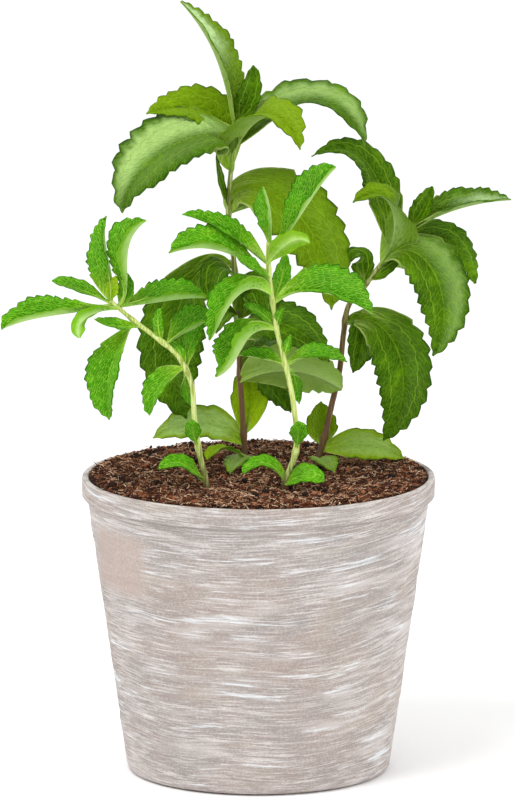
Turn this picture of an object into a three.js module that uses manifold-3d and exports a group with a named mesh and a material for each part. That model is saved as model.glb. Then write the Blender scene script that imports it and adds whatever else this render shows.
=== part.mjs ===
// A stevia plant in its pot: four leafy stems standing in coir soil.
// Millimetres, +Z up. The origin is the centre of the pot's underside; the front of the plant looks
// along -Y. Each leafy stem is one node: its leaves grow out of it and are joined to it in code.

import * as THREE from 'three';
import { mergeVertices } from 'three/addons/utils/BufferGeometryUtils.js';
import Module from 'manifold-3d';

const wasm = await Module();
wasm.setup();

// ---- driving sizes -------------------------------------------------------------------------------

const CLEAR = 0.3;                 // gap left between neighbouring pieces
const WELD = 1e-3;                 // corners nearer than this are one
const TIDY = 0.06;                 // slivers flatter than this are smoothed away after a join

const POT = {
  height: 127,
  rimRadius: 75,                   // outside of the rim band
  bandHeight: 8.7,
  bandDraft: 0.1,                  // the band widens by this much towards the top
  lip: 0.8,                        // bevel of the lip
  bodyTopRadius: 72.9,             // just under the band
  bodyFootRadius: 56.2,
  throat: 1,                       // height over which the body passes into the band
  footCorner: 3,
  innerTopRadius: 72.3,
  innerFloorRadius: 54,
  floor: 4,
  recess: 1.5,                     // the underside is hollowed between foot ring and centre boss
  footRingInner: 45,
  bossRadius: 13,
  drainCount: 6,
  drainRadius: 4,
  drainCircle: 31,
  drainSides: 12,
  segments: 48,
};

const SOIL = {
  level: 127.9,                    // between the stems
  edgeLevel: 126,                  // where it meets the wall at the front
  edgeRise: 1.5,                   // how much higher it meets the wall at the back
  riseFrom: -45,
  riseTo: 5,
  shoulder: 6,                     // width of the slope down to the wall
  lump: 0.45,
  rings: 9,
  segments: 44,
  boreGap: 0.1,                    // extra room round a stem
  boreHead: 20,                    // how far a bore runs out above the stem's foot
  boreSides: 16,
};

const STEM = {
  sides: 8,
  rings: 19,
  buried: 32,
  nodeSwell: 0.3,                  // share of its radius that a stem gains at a pair of leaves
  nodeLength: 2.2,
  plainFoot: 4,                    // height over which the swelling sets in above the soil
};

const BLADE = {
  thickness: 0.65,
  ribDepth: 0.45,                  // how far the midrib stands out underneath
  smooth: [0, 0.12, 0.27],         // stations before the first tooth, as shares of the length
  toothTip: 0.7,                   // where in its step a tooth ends
  lastTooth: 0.975,
  toothDepth: 0.075,               // share of half the blade's width
  toothLimit: 0.25,                // share of the breadth where the tooth stands
  leastReach: 0.35,                // half the breadth at the very tip
  stalkFoot: 1.2,                  // breadth of the stalk where it leaves the stem
  stalkFlare: 20,                  // how fast it gains its full breadth along the leaf
  opening: [0.2, 0.5],             // shares of the length between which the stalk becomes a blade
  wave: 0.05,                      // rise and fall of the edge, as a share of half the width
  waves: 17,                       // turn of that wave along the whole leaf, in radians
};

// What a leaf takes where its own entry says nothing.
const PLAIN_LEAF = { fold: 14, neck: 1.4, taper: 0.85, stalk: 0 };

// ---- the four leafy stems ------------------------------------------------------------------------
// path: points that the stem passes, from the soil up. radius: at the soil and at the crown.
// A leaf springs from the share `at` of the path; its midrib passes the points `via` and ends at
// `tip`. `face` is the way its upper side looks at its base and at its tip, and `width` is that of
// the whole blade. `teeth` are counted along one side, `fold` is the angle that each half is raised
// by, in degrees. `neck` is the breadth of its stalk and `stalk` the bare share of its length.
// `belly` is where along its length a blade is broadest, and a small `taper` rounds its tip.

const LEAFY_STEMS = [
  {
    name: 'leafy_stem_back_left',
    colour: 0x5f8f2a,
    radius: [1.6, 1.0],
    belly: 0.46,
    path: [[-5.7, 23, 128], [-6.6, 23, 144.5], [-8, 23, 168], [-8.7, 22, 191.5], [-10, 21, 211.5],
      [-12.5, 20, 232.5], [-12.5, 19, 245], [-11.3, 18, 260], [-10, 18, 276]],
    nodes: [0.08, 0.26, 0.42, 0.56, 0.74, 0.88],
    leaves: [
      // at the soil
      { at: 0.05, via: [[-23, 20, 145.5]], tip: [-45, 15, 140], width: 17, teeth: 3,
        face: [[-0.1, -0.6, 0.8], [-0.2, -0.85, 0.45]] },
      { at: 0.02, via: [[-9.5, 2, 132]], tip: [-12, -16, 130.8], width: 11, teeth: 3,
        face: [[0, -0.4, 0.9], [-0.2, -0.5, 0.8]] },
      { at: 0.02, via: [[-8.7, 15, 134], [-15.5, 6, 137.5]], tip: [-21.5, -4, 134.3], width: 9,
        teeth: 3, face: [[-0.2, -0.5, 0.85], [-0.5, -0.5, 0.7]], belly: 0.66, taper: 0.6 },
      { at: 0.08, via: [[-4, 29, 154]], tip: [-3.2, 37, 173], width: 16, teeth: 2,
        face: [[0, -1, 0.1], [0, -1, 0.3]] },
      // low pairs
      { at: 0.37, via: [[11, 6, 191]], tip: [30, 0, 176], width: 22, teeth: 5,
        face: [[0.1, -0.7, 0.7], [0.3, -0.8, 0.4]] },
      { at: 0.24, via: [[14.5, 12, 170]], tip: [35.5, 8, 162.5], width: 26, teeth: 4,
        face: [[0, 0.8, 0.5], [0.1, 0.9, 0.3]], taper: 0.6 },
      { at: 0.27, via: [[1.5, 30, 168]], tip: [14, 34, 147.5], width: 19, teeth: 4,
        face: [[0.1, -0.7, 0.6], [0.2, -0.8, 0.5]] },
      { at: 0.27, via: [[8, 42, 178]], tip: [24, 58, 168], width: 16, teeth: 4,
        face: [[0.3, 0.2, 0.9], [0.4, 0.5, 0.7]] },
      { at: 0.41, via: [[-13.5, 10, 195.5]], tip: [-18, 4, 187.5], width: 10, teeth: 3,
        face: [[-0.1, -0.7, 0.7], [-0.2, -0.9, 0.3]] },
      { at: 0.42, via: [[-1, 14, 205]], tip: [3, 8, 191.5], width: 16, teeth: 3,
        face: [[0, -0.7, 0.7], [0.1, -1, 0.2]] },
      // the great leaf on the left and its fellows
      { at: 0.56, via: [[-24.5, 22, 212], [-36.5, 16, 186]], tip: [-30.5, 10, 149.5], width: 29,
        teeth: 6, face: [[-0.2, -0.8, 0.6], [-0.1, -1, 0.2]], fold: 10, neck: 3, belly: 0.56 },
      { at: 0.55, via: [[-18, 8, 214]], tip: [-20, 4, 200], width: 13, teeth: 3,
        face: [[-0.3, -0.6, 0.7], [-0.1, -1, 0.1]] },
      { at: 0.58, via: [[-24, 44, 206]], tip: [-38, 62, 190], width: 18, teeth: 4,
        face: [[-0.3, 0.2, 0.9], [-0.4, 0.5, 0.7]] },
      // the great leaf on the right
      { at: 0.735, via: [[0, 14, 248], [21, 6, 233]], tip: [31, 2, 198], width: 32, teeth: 6,
        face: [[0, -0.5, 0.9], [0.3, -0.9, 0.3]], fold: 9, neck: 3 },
      { at: 0.75, via: [[-16.8, 16, 252.5]], tip: [-17.6, 14, 264], width: 8, teeth: 2,
        face: [[0.8, -0.3, 0.3], [0.8, -0.3, 0.3]] },
      { at: 0.74, via: [[14, 40, 236]], tip: [30, 58, 216], width: 20, teeth: 4,
        face: [[0.3, 0.2, 0.9], [0.4, 0.5, 0.7]] },
      // crown
      { at: 0.86, via: [[-21, 8, 272], [-44, -2, 264]], tip: [-57.5, -8, 241.5], width: 36, teeth: 6,
        face: [[-0.5, -0.5, 0.7], [-0.39, -0.77, 0.51]], fold: 16, neck: 4, stalk: 0.1 },
      { at: 0.88, via: [[-18, 20, 278], [-33, 16, 283]], tip: [-47.5, 10, 281], width: 21, teeth: 5,
        face: [[0.6, -0.6, 0.3], [-0.3, -0.6, 0.7]], fold: 20, neck: 6, stalk: 0.08 },
      { at: 0.86, via: [[-5, 11, 274], [7, 4, 281]], tip: [17.6, -2, 267.5], width: 26, teeth: 5,
        face: [[-0.6, 0.5, 0.4], [0.3, -0.6, 0.7]], fold: 26, neck: 9, belly: 0.42 },
      { at: 0.92, via: [[6, 26, 278], [28, 20, 284.5]], tip: [45.5, 12, 266], width: 26, teeth: 5,
        face: [[-0.2, -0.3, 0.95], [0.5, -0.45, 0.75]], fold: 24, neck: 2 },
      { at: 0.9, via: [[-28, 38, 262]], tip: [-48, 54, 250], width: 16, teeth: 4,
        face: [[-0.3, 0.2, 0.9], [-0.4, 0.5, 0.7]] },
      { at: 1, via: [[-13.8, 17, 292.5], [-20.2, 16, 310]], tip: [-33, 14, 328.5], width: 19.5,
        teeth: 6, face: [[0.74, -0.49, 0.47], [0.74, -0.49, 0.47]], fold: 42 },
      { at: 0.99, via: [[-3.6, 14, 289]], tip: [-2.3, 12, 301.5], width: 11, teeth: 3,
        face: [[-0.2, -0.9, 0.2], [0, -1, 0.3]], fold: 20, taper: 0.6 },
    ],
  },
  {
    name: 'leafy_stem_back_right',
    colour: 0x55851f,
    radius: [1.6, 0.95],
    belly: 0.46,
    path: [[25.3, 17, 128.5], [28.3, 18, 140.5], [31.2, 19, 153.5], [34.6, 20, 168.5],
      [36.3, 20, 184.5], [38.5, 19, 197], [45.7, 17, 206.5], [53.3, 14, 217], [61.8, 12, 227],
      [66, 10, 233.5]],
    nodes: [0.1, 0.54, 0.7, 0.84],
    leaves: [
      // at the soil
      { at: 0.05, via: [[44, 14, 137]], tip: [62, 8, 132.5], width: 16, teeth: 3,
        face: [[0.1, -0.6, 0.8], [0.2, -0.85, 0.45]] },
      { at: 0.02, via: [[27.5, 4, 132.5]], tip: [32, -13, 131], width: 12, teeth: 3,
        face: [[0, -0.4, 0.9], [0.2, -0.5, 0.8]] },
      { at: 0.07, via: [[27, 24, 142.5]], tip: [26.8, 28, 153.5], width: 14, teeth: 2,
        face: [[0, -1, 0.1], [0, -1, 0.3]] },
      // the great leaf and its fellows
      { at: 0.53, via: [[53, 10, 188.5], [61.5, 2, 169]], tip: [53, 0, 142], width: 26, teeth: 6,
        face: [[0.2, -0.5, 0.8], [0.1, -1, 0.2]], fold: 10, neck: 3 },
      { at: 0.54, via: [[44.5, 14, 188]], tip: [40.2, 12, 169], width: 14, teeth: 3,
        face: [[0.3, -0.6, 0.7], [0.1, -1, 0.1]] },
      { at: 0.54, via: [[52, 40, 178]], tip: [60, 56, 160], width: 18, teeth: 4,
        face: [[0.3, 0.2, 0.9], [0.4, 0.5, 0.7]] },
      // a small pair
      { at: 0.69, via: [[43, 14, 220]], tip: [36.8, 10, 215.5], width: 10, teeth: 3,
        face: [[0, -0.3, 1], [-0.3, -0.6, 0.7]] },
      { at: 0.73, via: [[55, 12, 213.5]], tip: [61, 10, 219.5], width: 7, teeth: 2,
        face: [[-0.5, -0.6, 0.6], [-0.5, -0.6, 0.6]] },
      // crown
      { at: 0.81, via: [[68.5, 2, 221.5], [78, -6, 204]], tip: [73.7, -10, 180.5], width: 27, teeth: 6,
        face: [[0.2, -0.5, 0.8], [0.3, -0.9, 0.3]], fold: 12, neck: 4 },
      { at: 0.81, via: [[72, 34, 206]], tip: [80, 50, 190], width: 16, teeth: 4,
        face: [[0.3, 0.2, 0.9], [0.4, 0.5, 0.7]] },
      { at: 0.86, via: [[78, 12, 227]], tip: [92, 4, 209], width: 17, teeth: 5,
        face: [[0, -0.6, 0.8], [0.4, -0.7, 0.5]], fold: 16, neck: 4 },
      { at: 0.8, via: [[58, 8, 233], [53.5, 4, 246]], tip: [40, 0, 244.5], width: 21, teeth: 4,
        face: [[0.6, 0.5, 0.4], [-0.3, -0.6, 0.7]], fold: 26, neck: 7, belly: 0.42 },
      { at: 0.86, via: [[51, 22, 249.5], [39, 18, 264]], tip: [22.5, 14, 262], width: 17, teeth: 5,
        face: [[0.4, -0.7, 0.4], [-0.2, -0.5, 0.8]], fold: 14, neck: 3 },
      { at: 0.98, via: [[85, 8, 241]], tip: [107, 4, 245.2], width: 19, teeth: 6,
        face: [[-0.1, -0.35, 0.93], [-0.1, -0.35, 0.93]], fold: 36 },
      { at: 0.97, via: [[70.3, 8, 242]], tip: [73.7, 6, 250.5], width: 10, teeth: 3,
        face: [[-0.3, -0.8, 0.4], [-0.3, -0.8, 0.4]], fold: 20, taper: 0.6 },
    ],
  },
  {
    name: 'leafy_stem_front_left',
    colour: 0x6fb52a,
    radius: [1.25, 0.85],
    belly: 0.5,
    path: [[-21.9, -31, 128.5], [-25.3, -33, 145], [-27, -34, 158.5], [-28.3, -35, 173.5],
      [-34.2, -36, 185.5], [-44.4, -37, 194.5], [-53.3, -38, 201.5], [-62.3, -39, 209.5]],
    nodes: [0.04, 0.18, 0.54, 0.7, 0.87],
    leaves: [
      // seed leaf at the soil
      { at: 0.03, via: [[-27.5, -36, 136], [-33.5, -39, 140]], tip: [-42, -42, 137.8], width: 10,
        teeth: 3, face: [[0, -0.45, 0.9], [-0.2, -0.6, 0.8]], fold: 20, taper: 0.6 },
      { at: 0.18, via: [[-27.4, -40, 153]], tip: [-27.8, -44, 159.5], width: 7, teeth: 2,
        face: [[0, -1, 0.4], [0, -1, 0.5]], belly: 0.68, taper: 0.5 },
      // first pair and its side leaves
      { at: 0.55, via: [[-41, -38, 173.6]], tip: [-46, -42, 161], width: 14, teeth: 4,
        face: [[-0.5, -0.6, 0.6], [-0.6, -0.6, 0.5]], fold: 26 },
      { at: 0.53, via: [[-31, -28, 171]], tip: [-28.7, -25, 162], width: 8, teeth: 2,
        face: [[0.5, -0.8, 0.3], [0.5, -0.8, 0.2]], fold: 20 },
      { at: 0.55, via: [[-35, -33, 189]], tip: [-39.3, -32, 188], width: 5, teeth: 2,
        face: [[0, -0.6, 0.8], [0, -0.6, 0.8]] },
      { at: 0.54, via: [[-28.3, -31, 189.5]], tip: [-22.5, -29, 199], width: 9.5, teeth: 3,
        face: [[-0.5, -0.8, 0.2], [-0.6, -0.7, 0.3]], fold: 22 },
      // second pair
      { at: 0.69, via: [[-29.1, -30, 195.4]], tip: [-16.4, -27, 198.7], width: 21.5, teeth: 5,
        face: [[0, -0.26, 0.965], [0, -0.26, 0.965]], fold: 44, belly: 0.58, taper: 0.6 },
      { at: 0.71, via: [[-42.3, -38, 200]], tip: [-41.4, -38, 206], width: 5, teeth: 2,
        face: [[0, -1, 0.1], [0, -1, 0.1]], taper: 0.5 },
      // crown
      { at: 0.865, via: [[-59.3, -42, 188.7], [-63.1, -44, 176.1]], tip: [-62.7, -42, 159.2],
        width: 21, teeth: 6, face: [[-0.59, -0.66, 0.47], [-0.68, -0.72, 0.07]], fold: 31,
        belly: 0.55 },
      { at: 0.83, via: [[-61, -44, 199.5]], tip: [-68.6, -50, 203.7], width: 9, teeth: 2,
        face: [[0, -0.5, 0.85], [0, -0.5, 0.85]], fold: 24 },
      { at: 0.97, via: [[-46.5, -34, 207.9], [-34.2, -31, 209]], tip: [-22.3, -28, 208.8], width: 19.5,
        teeth: 5, face: [[0, -0.28, 0.96], [0, -0.28, 0.96]], fold: 46, belly: 0.58, taper: 0.55 },
      { at: 0.98, via: [[-79.7, -46, 205.9], [-94.1, -50, 204.1]], tip: [-107.6, -53, 200],
        width: 18.5, teeth: 6, face: [[0, -0.325, 0.945], [-0.2, -0.35, 0.92]], fold: 45, belly: 0.62,
        taper: 0.5 },
      { at: 0.98, via: [[-75, -33, 213.1]], tip: [-86.9, -30, 216.2], width: 9, teeth: 3,
        face: [[0, -0.48, 0.87], [0, -0.48, 0.87]], fold: 30, belly: 0.6, taper: 0.5 },
      { at: 0.96, via: [[-72.9, -50, 204.1]], tip: [-75, -54, 196.3], width: 8.5, teeth: 2,
        face: [[0.1, 0.6, 0.8], [0, 0.95, 0.3]], fold: 12, belly: 0.55, taper: 0.5 },
      { at: 1, via: [[-62.5, -37, 221.9], [-64.5, -36, 232.9]], tip: [-63.8, -35, 244.9], width: 18,
        teeth: 5, face: [[-0.79, -0.6, 0.12], [-0.79, -0.6, 0.12]], fold: 42, belly: 0.43 },
      { at: 0.96, via: [[-55.7, -42, 218.6], [-55, -44, 232.4]], tip: [-47, -46, 244.9], width: 20,
        teeth: 6, face: [[-0.89, -0.44, 0.09], [-0.53, -0.31, 0.79]], fold: 48, belly: 0.66 },
      { at: 1, via: [[-61.4, -42, 215.5]], tip: [-59.7, -44, 221], width: 6, teeth: 2,
        face: [[0, -1, 0.2], [0, -1, 0.3]] },
      { at: 0.95, via: [[-55.5, -36, 213.5]], tip: [-56.7, -34, 221.5], width: 8, teeth: 2,
        face: [[-0.4, -0.9, 0.2], [-0.4, -0.9, 0.2]] },
    ],
  },
  {
    name: 'leafy_stem_front_centre',
    colour: 0x6ab82c,
    radius: [1.25, 0.85],
    belly: 0.5,
    path: [[10.8, -33, 128.5], [15.9, -35, 145.5], [14.7, -36, 165], [11.3, -37, 182],
      [7.9, -37, 195.5], [5.7, -37, 211], [4, -37, 226.5], [4, -37, 234]],
    nodes: [0.04, 0.15, 0.51, 0.67, 0.76, 0.9],
    leaves: [
      // seed leaves at the soil
      { at: 0.02, via: [[7, -35, 137], [0.5, -37, 139.5]], tip: [-6.8, -38, 135], width: 9, teeth: 3,
        face: [[0, -0.45, 0.9], [-0.3, -0.5, 0.8]], fold: 22, taper: 0.6 },
      { at: 0.01, via: [[15, -38, 133], [20.5, -42, 135.2]], tip: [27.5, -45, 133], width: 12,
        teeth: 3, face: [[0, -0.6, 0.8], [0.2, -0.7, 0.65]], fold: 18, taper: 0.6 },
      { at: 0.15, via: [[16.8, -41, 153]], tip: [16.4, -45, 159], width: 8, teeth: 2,
        face: [[0, -1, 0.4], [0, -1, 0.5]], belly: 0.68, taper: 0.5 },
      // first pair and its side leaves
      { at: 0.51, via: [[0.6, -32, 183.9]], tip: [-8.7, -28, 184.2], width: 10, teeth: 3,
        face: [[0, -0.35, 0.93], [0, -0.4, 0.9]], fold: 35 },
      { at: 0.51, via: [[23.6, -40, 186.3]], tip: [37.2, -43, 184], width: 13, teeth: 4,
        face: [[0, -0.35, 0.93], [0.1, -0.4, 0.9]], fold: 28 },
      { at: 0.49, via: [[15.1, -29, 175.5]], tip: [17.2, -27, 163], width: 8, teeth: 2,
        face: [[-0.5, -0.8, 0.3], [-0.5, -0.8, 0.1]], fold: 20 },
      { at: 0.54, via: [[12.1, -39, 190.5]], tip: [13.4, -40, 195], width: 4.5, teeth: 2,
        face: [[-0.3, -0.9, 0.2], [-0.3, -0.9, 0.2]] },
      // second pair
      { at: 0.66, via: [[-4, -42, 195.2], [-9.6, -46, 186.5]], tip: [-18, -48, 178.6], width: 24,
        teeth: 5, face: [[-0.7, -0.31, 0.64], [-0.7, -0.31, 0.64]], fold: 49, belly: 0.55 },
      { at: 0.66, via: [[0.6, -36, 204]], tip: [-6.2, -35, 207], width: 6, teeth: 2,
        face: [[0, -0.6, 0.8], [0, -0.6, 0.8]], taper: 0.5 },
      { at: 0.66, via: [[8.7, -39, 203]], tip: [10.8, -40, 206.5], width: 4.5, teeth: 2,
        face: [[0, -0.6, 0.8], [0, -0.6, 0.8]] },
      // third pair
      { at: 0.8, via: [[-7.4, -45, 214.4], [-15.5, -49, 203.9]], tip: [-20.6, -51, 194.8], width: 20.5,
        teeth: 5, face: [[-0.7, -0.4, 0.6], [-0.85, -0.4, 0.35]], fold: 45, belly: 0.5 },
      { at: 0.76, via: [[19.8, -40, 214], [34.6, -43, 211.8]], tip: [47.8, -46, 205.1], width: 26.5,
        teeth: 6, face: [[0, -0.485, 0.87], [0.38, -0.48, 0.78]], fold: 38, belly: 0.56 },
      { at: 0.76, via: [[10, -29, 218]], tip: [11.3, -26, 228], width: 8, teeth: 3,
        face: [[-0.2, -0.9, 0.1], [-0.2, -0.9, 0.1]] },
      // crown
      { at: 0.86, via: [[-2.3, -46, 225]], tip: [-9.6, -49, 230.5], width: 9.5, teeth: 3,
        face: [[0, -0.6, 0.8], [0, -0.6, 0.8]], fold: 20 },
      { at: 0.88, via: [[-10.8, -40, 229.6], [-24, -42, 232.8]], tip: [-37.6, -43, 230.5], width: 21.5,
        teeth: 6, face: [[0, -0.34, 0.94], [-0.25, -0.34, 0.9]], fold: 44, belly: 0.62 },
      { at: 0.92, via: [[-8.7, -34, 234.1], [-20.2, -33.5, 241.1]], tip: [-32.1, -33, 245.3],
        width: 14.5, teeth: 5, face: [[0.4, -0.46, 0.79], [0.4, -0.46, 0.79]], fold: 38 },
      { at: 0.92, via: [[13.4, -46, 236]], tip: [21.5, -50, 236.2], width: 10, teeth: 3,
        face: [[0, 0.9, 0.4], [0.1, 0.9, 0.4]], fold: 10, taper: 0.5 },
      { at: 0.97, via: [[4.8, -36, 245.3]], tip: [1.8, -34, 257.2], width: 15, teeth: 3,
        face: [[-0.9, -0.42, 0.1], [-0.9, -0.42, 0]], fold: 36, belly: 0.6, taper: 0.6 },
      { at: 0.97, via: [[13.4, -33, 239.3], [22.7, -32, 252.9]], tip: [32.5, -31, 265], width: 20.5,
        teeth: 6, face: [[-0.65, -0.48, 0.59], [-0.65, -0.48, 0.59]], fold: 43, belly: 0.62,
        taper: 0.45 },
    ],
  },
];

// ---- helpers -------------------------------------------------------------------------------------

const vec = ([x, y, z]) => new THREE.Vector3(x, y, z);
const smoothstep = (low, high, value) => THREE.MathUtils.smoothstep(value, low, high);

function toManifold(geometry) {
  const bare = geometry.clone();
  bare.deleteAttribute('normal');
  bare.deleteAttribute('uv');
  const merged = mergeVertices(bare, WELD);
  return new wasm.Manifold(new wasm.Mesh({
    numProp: 3,
    vertProperties: new Float32Array(merged.attributes.position.array),
    triVerts: new Uint32Array(merged.index.array),
  }));
}

function toGeometry(solid) {
  const mesh = solid.getMesh();
  const geometry = new THREE.BufferGeometry();
  geometry.setAttribute('position', new THREE.BufferAttribute(mesh.vertProperties, 3));
  geometry.setIndex(new THREE.BufferAttribute(mesh.triVerts, 1));
  geometry.computeVertexNormals();
  return geometry;
}

// The largest body of a joined solid, with the pockets that crossing blades close off filled in.
function largestBody(solid) {
  const bodies = toManifold(toGeometry(solid.simplify(TIDY))).decompose();
  return bodies.reduce((best, body) => (body.volume() > best.volume() ? body : best));
}

// A closed skin over a row of rings that all have the same number of points, each ring running
// anticlockwise as seen from the far end.
function skin(rings) {
  const size = rings[0].length;
  const corners = rings.flat().flatMap((point) => point.toArray());
  const faces = [];
  for (let row = 0; row + 1 < rings.length; row += 1) {
    for (let i = 0; i < size; i += 1) {
      const a = row * size + i;
      const b = row * size + (i + 1) % size;
      faces.push(a, b, b + size, a, b + size, a + size);
    }
  }
  const last = (rings.length - 1) * size;
  for (let i = 1; i + 1 < size; i += 1) {
    faces.push(0, i + 1, i, last, last + i, last + i + 1);
  }
  const geometry = new THREE.BufferGeometry();
  geometry.setAttribute('position', new THREE.Float32BufferAttribute(corners, 3));
  geometry.setIndex(faces);
  return geometry;
}

function namedMesh(name, geometry, material) {
  const mesh = new THREE.Mesh(geometry, material);
  mesh.name = name;
  return mesh;
}

// ---- pot -----------------------------------------------------------------------------------------

// Radius of the pot's inner wall at a height above the floor.
function innerRadius(z) {
  const share = (z - POT.floor) / (POT.height - POT.floor);
  return THREE.MathUtils.lerp(POT.innerFloorRadius, POT.innerTopRadius, share);
}

function potGeometry() {
  const { lip, throat } = POT;
  const bandFoot = POT.height - POT.bandHeight;
  const profile = [
    [0, 0],
    [POT.bossRadius, 0],
    [POT.bossRadius + POT.recess, POT.recess],
    [POT.footRingInner - POT.recess, POT.recess],
    [POT.footRingInner, 0],
    [POT.bodyFootRadius - POT.footCorner, 0],
    [POT.bodyFootRadius, POT.footCorner],
    [POT.bodyTopRadius, bandFoot - throat / 2],
    [POT.rimRadius, bandFoot + throat / 2],
    [POT.rimRadius + POT.bandDraft, POT.height - lip],
    [POT.rimRadius - lip, POT.height],
    [POT.innerTopRadius + lip, POT.height],
    [POT.innerTopRadius, POT.height - lip],
    [POT.innerFloorRadius, POT.floor],
    [0, POT.floor],
  ].map(([r, z]) => new THREE.Vector2(r, z));
  const turned = new THREE.LatheGeometry(profile, POT.segments).rotateX(Math.PI / 2);
  const drain = new THREE.CylinderGeometry(
    POT.drainRadius, POT.drainRadius, POT.floor * 3, POT.drainSides).rotateX(Math.PI / 2);
  let pot = toManifold(turned);
  for (let i = 0; i < POT.drainCount; i += 1) {
    const turn = (i + 0.5) * 2 * Math.PI / POT.drainCount;
    const hole = drain.clone().translate(
      POT.drainCircle * Math.cos(turn), POT.drainCircle * Math.sin(turn), POT.floor / 2);
    pot = pot.subtract(toManifold(hole));
  }
  return toGeometry(pot);
}

// ---- soil ----------------------------------------------------------------------------------------

// A bed with low lumps that slopes down to the wall, and stands a little higher at the back.
function soilHeight(x, y) {
  const radius = Math.hypot(x, y);
  const wall = innerRadius(POT.height);
  const lumps = Math.sin(x * 0.31 + 1.3) * Math.cos(y * 0.27 - 0.4)
    + 0.6 * Math.sin(x * 0.53 - y * 0.47 + 2.1)
    + 0.4 * Math.cos(x * 0.83 + y * 0.71);
  const bed = SOIL.level + SOIL.lump * lumps;
  const edge = SOIL.edgeLevel + SOIL.edgeRise * smoothstep(SOIL.riseFrom, SOIL.riseTo, y);
  return THREE.MathUtils.lerp(bed, edge, smoothstep(wall - SOIL.shoulder, wall, radius));
}

function soilGeometry() {
  const foot = POT.floor + CLEAR;
  const rimRadius = innerRadius(SOIL.edgeLevel) - CLEAR;
  const circle = (radius, height) => Array.from({ length: SOIL.segments }, (_, i) => {
    const turn = i * 2 * Math.PI / SOIL.segments;
    const x = radius * Math.cos(turn);
    const y = radius * Math.sin(turn);
    return new THREE.Vector3(x, y, height(x, y));
  });
  const rings = [circle(innerRadius(foot) - CLEAR, () => foot)];
  for (let ring = SOIL.rings; ring > 0; ring -= 1) {
    rings.push(circle(rimRadius * ring / SOIL.rings, soilHeight));
  }
  let soil = toManifold(skin(rings));
  for (const stem of LEAFY_STEMS) {
    const [x, y, z] = stem.path[0];
    const depth = STEM.buried + CLEAR;
    const radius = stem.radius[0] + CLEAR + SOIL.boreGap;
    const bore = new THREE.CylinderGeometry(radius, radius, depth + SOIL.boreHead, SOIL.boreSides)
      .rotateX(Math.PI / 2)
      .translate(x, y, z + (SOIL.boreHead - depth) / 2);
    soil = soil.subtract(toManifold(bore));
  }
  return toGeometry(soil);
}

// ---- leafy stems ---------------------------------------------------------------------------------

// The midrib: a Bezier curve that passes its one or two via points a half or thirds of the way.
function ribCurve(base, via, tip) {
  if (via.length === 1) {
    const middle = via[0].clone().multiplyScalar(2).addScaledVector(base, -0.5).addScaledVector(tip, -0.5);
    return new THREE.QuadraticBezierCurve3(base, middle, tip);
  }
  const pull = (near, far, close, away) => new THREE.Vector3()
    .addScaledVector(near, -5 / 6).addScaledVector(close, 3).addScaledVector(away, -1.5)
    .addScaledVector(far, 1 / 3);
  const first = pull(base, tip, via[0], via[1]);
  const second = pull(tip, base, via[1], via[0]);
  return new THREE.CubicBezierCurve3(base, first, second, tip);
}

// Half the breadth of a blade as a share of its greatest, from a slim stalk to its tip.
function outline(share, belly, taper) {
  const eased = share ** (Math.log(0.5) / Math.log(belly));
  const sharpness = share < belly ? 2 * belly : taper;
  return Math.max(Math.sin(Math.PI * eased), 0) ** sharpness;
}

// Where along a leaf its rings lie, each with 1 at a tooth's tip, -1 in a notch and 0 elsewhere.
function leafStations(teeth) {
  const first = BLADE.smooth.at(-1);
  const step = (BLADE.lastTooth - first) / teeth;
  const stations = BLADE.smooth.map((share) => [share, 0]);
  for (let tooth = 0; tooth < teeth; tooth += 1) {
    stations.push([first + (tooth + BLADE.toothTip) * step, 1]);
    if (tooth + 1 < teeth) stations.push([first + (tooth + 1) * step, -1]);
  }
  return [...stations, [1, 0]];
}

// A folded blade with toothed edges and a rib underneath.
function leafSolid(leaf, base) {
  const curve = ribCurve(base, leaf.via.map(vec), vec(leaf.tip));
  const fold = THREE.MathUtils.degToRad(leaf.fold);
  const half = leaf.width / 2;
  const lift = BLADE.thickness / 2 / Math.cos(fold);
  const rings = leafStations(leaf.teeth).map(([share, cut]) => {
    const centre = curve.getPointAt(share);
    const along = curve.getTangentAt(share);
    const up = vec(leaf.face[0]).lerp(vec(leaf.face[1]), share);
    up.addScaledVector(along, -up.dot(along)).normalize();
    const side = new THREE.Vector3().crossVectors(up, along);
    const opened = smoothstep(...BLADE.opening, share);
    const stalk = Math.min(leaf.neck, BLADE.stalkFoot + BLADE.stalkFlare * share) * (1 - opened) / 2;
    const bladeShare = Math.max(share - leaf.stalk, 0) / (1 - leaf.stalk);
    let reach = Math.max(half * outline(bladeShare, leaf.belly, leaf.taper), stalk, BLADE.leastReach);
    reach += cut * Math.min(BLADE.toothDepth * half, reach * BLADE.toothLimit);
    const wave = BLADE.wave * half * Math.sin(share * BLADE.waves + leaf.width) * opened;
    const edge = (sign) => centre.clone()
      .addScaledVector(side, sign * reach * Math.cos(fold))
      .addScaledVector(up, reach * Math.sin(fold) + sign * wave);
    const left = edge(-1);
    const right = edge(1);
    const lower = (point, depth) => point.clone().addScaledVector(up, -depth);
    return [
      lower(left, -lift), lower(left, lift), lower(centre, lift + BLADE.ribDepth * (1 - share)),
      lower(right, lift), lower(right, -lift), lower(centre, -lift),
    ];
  });
  return toManifold(skin(rings));
}

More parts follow.
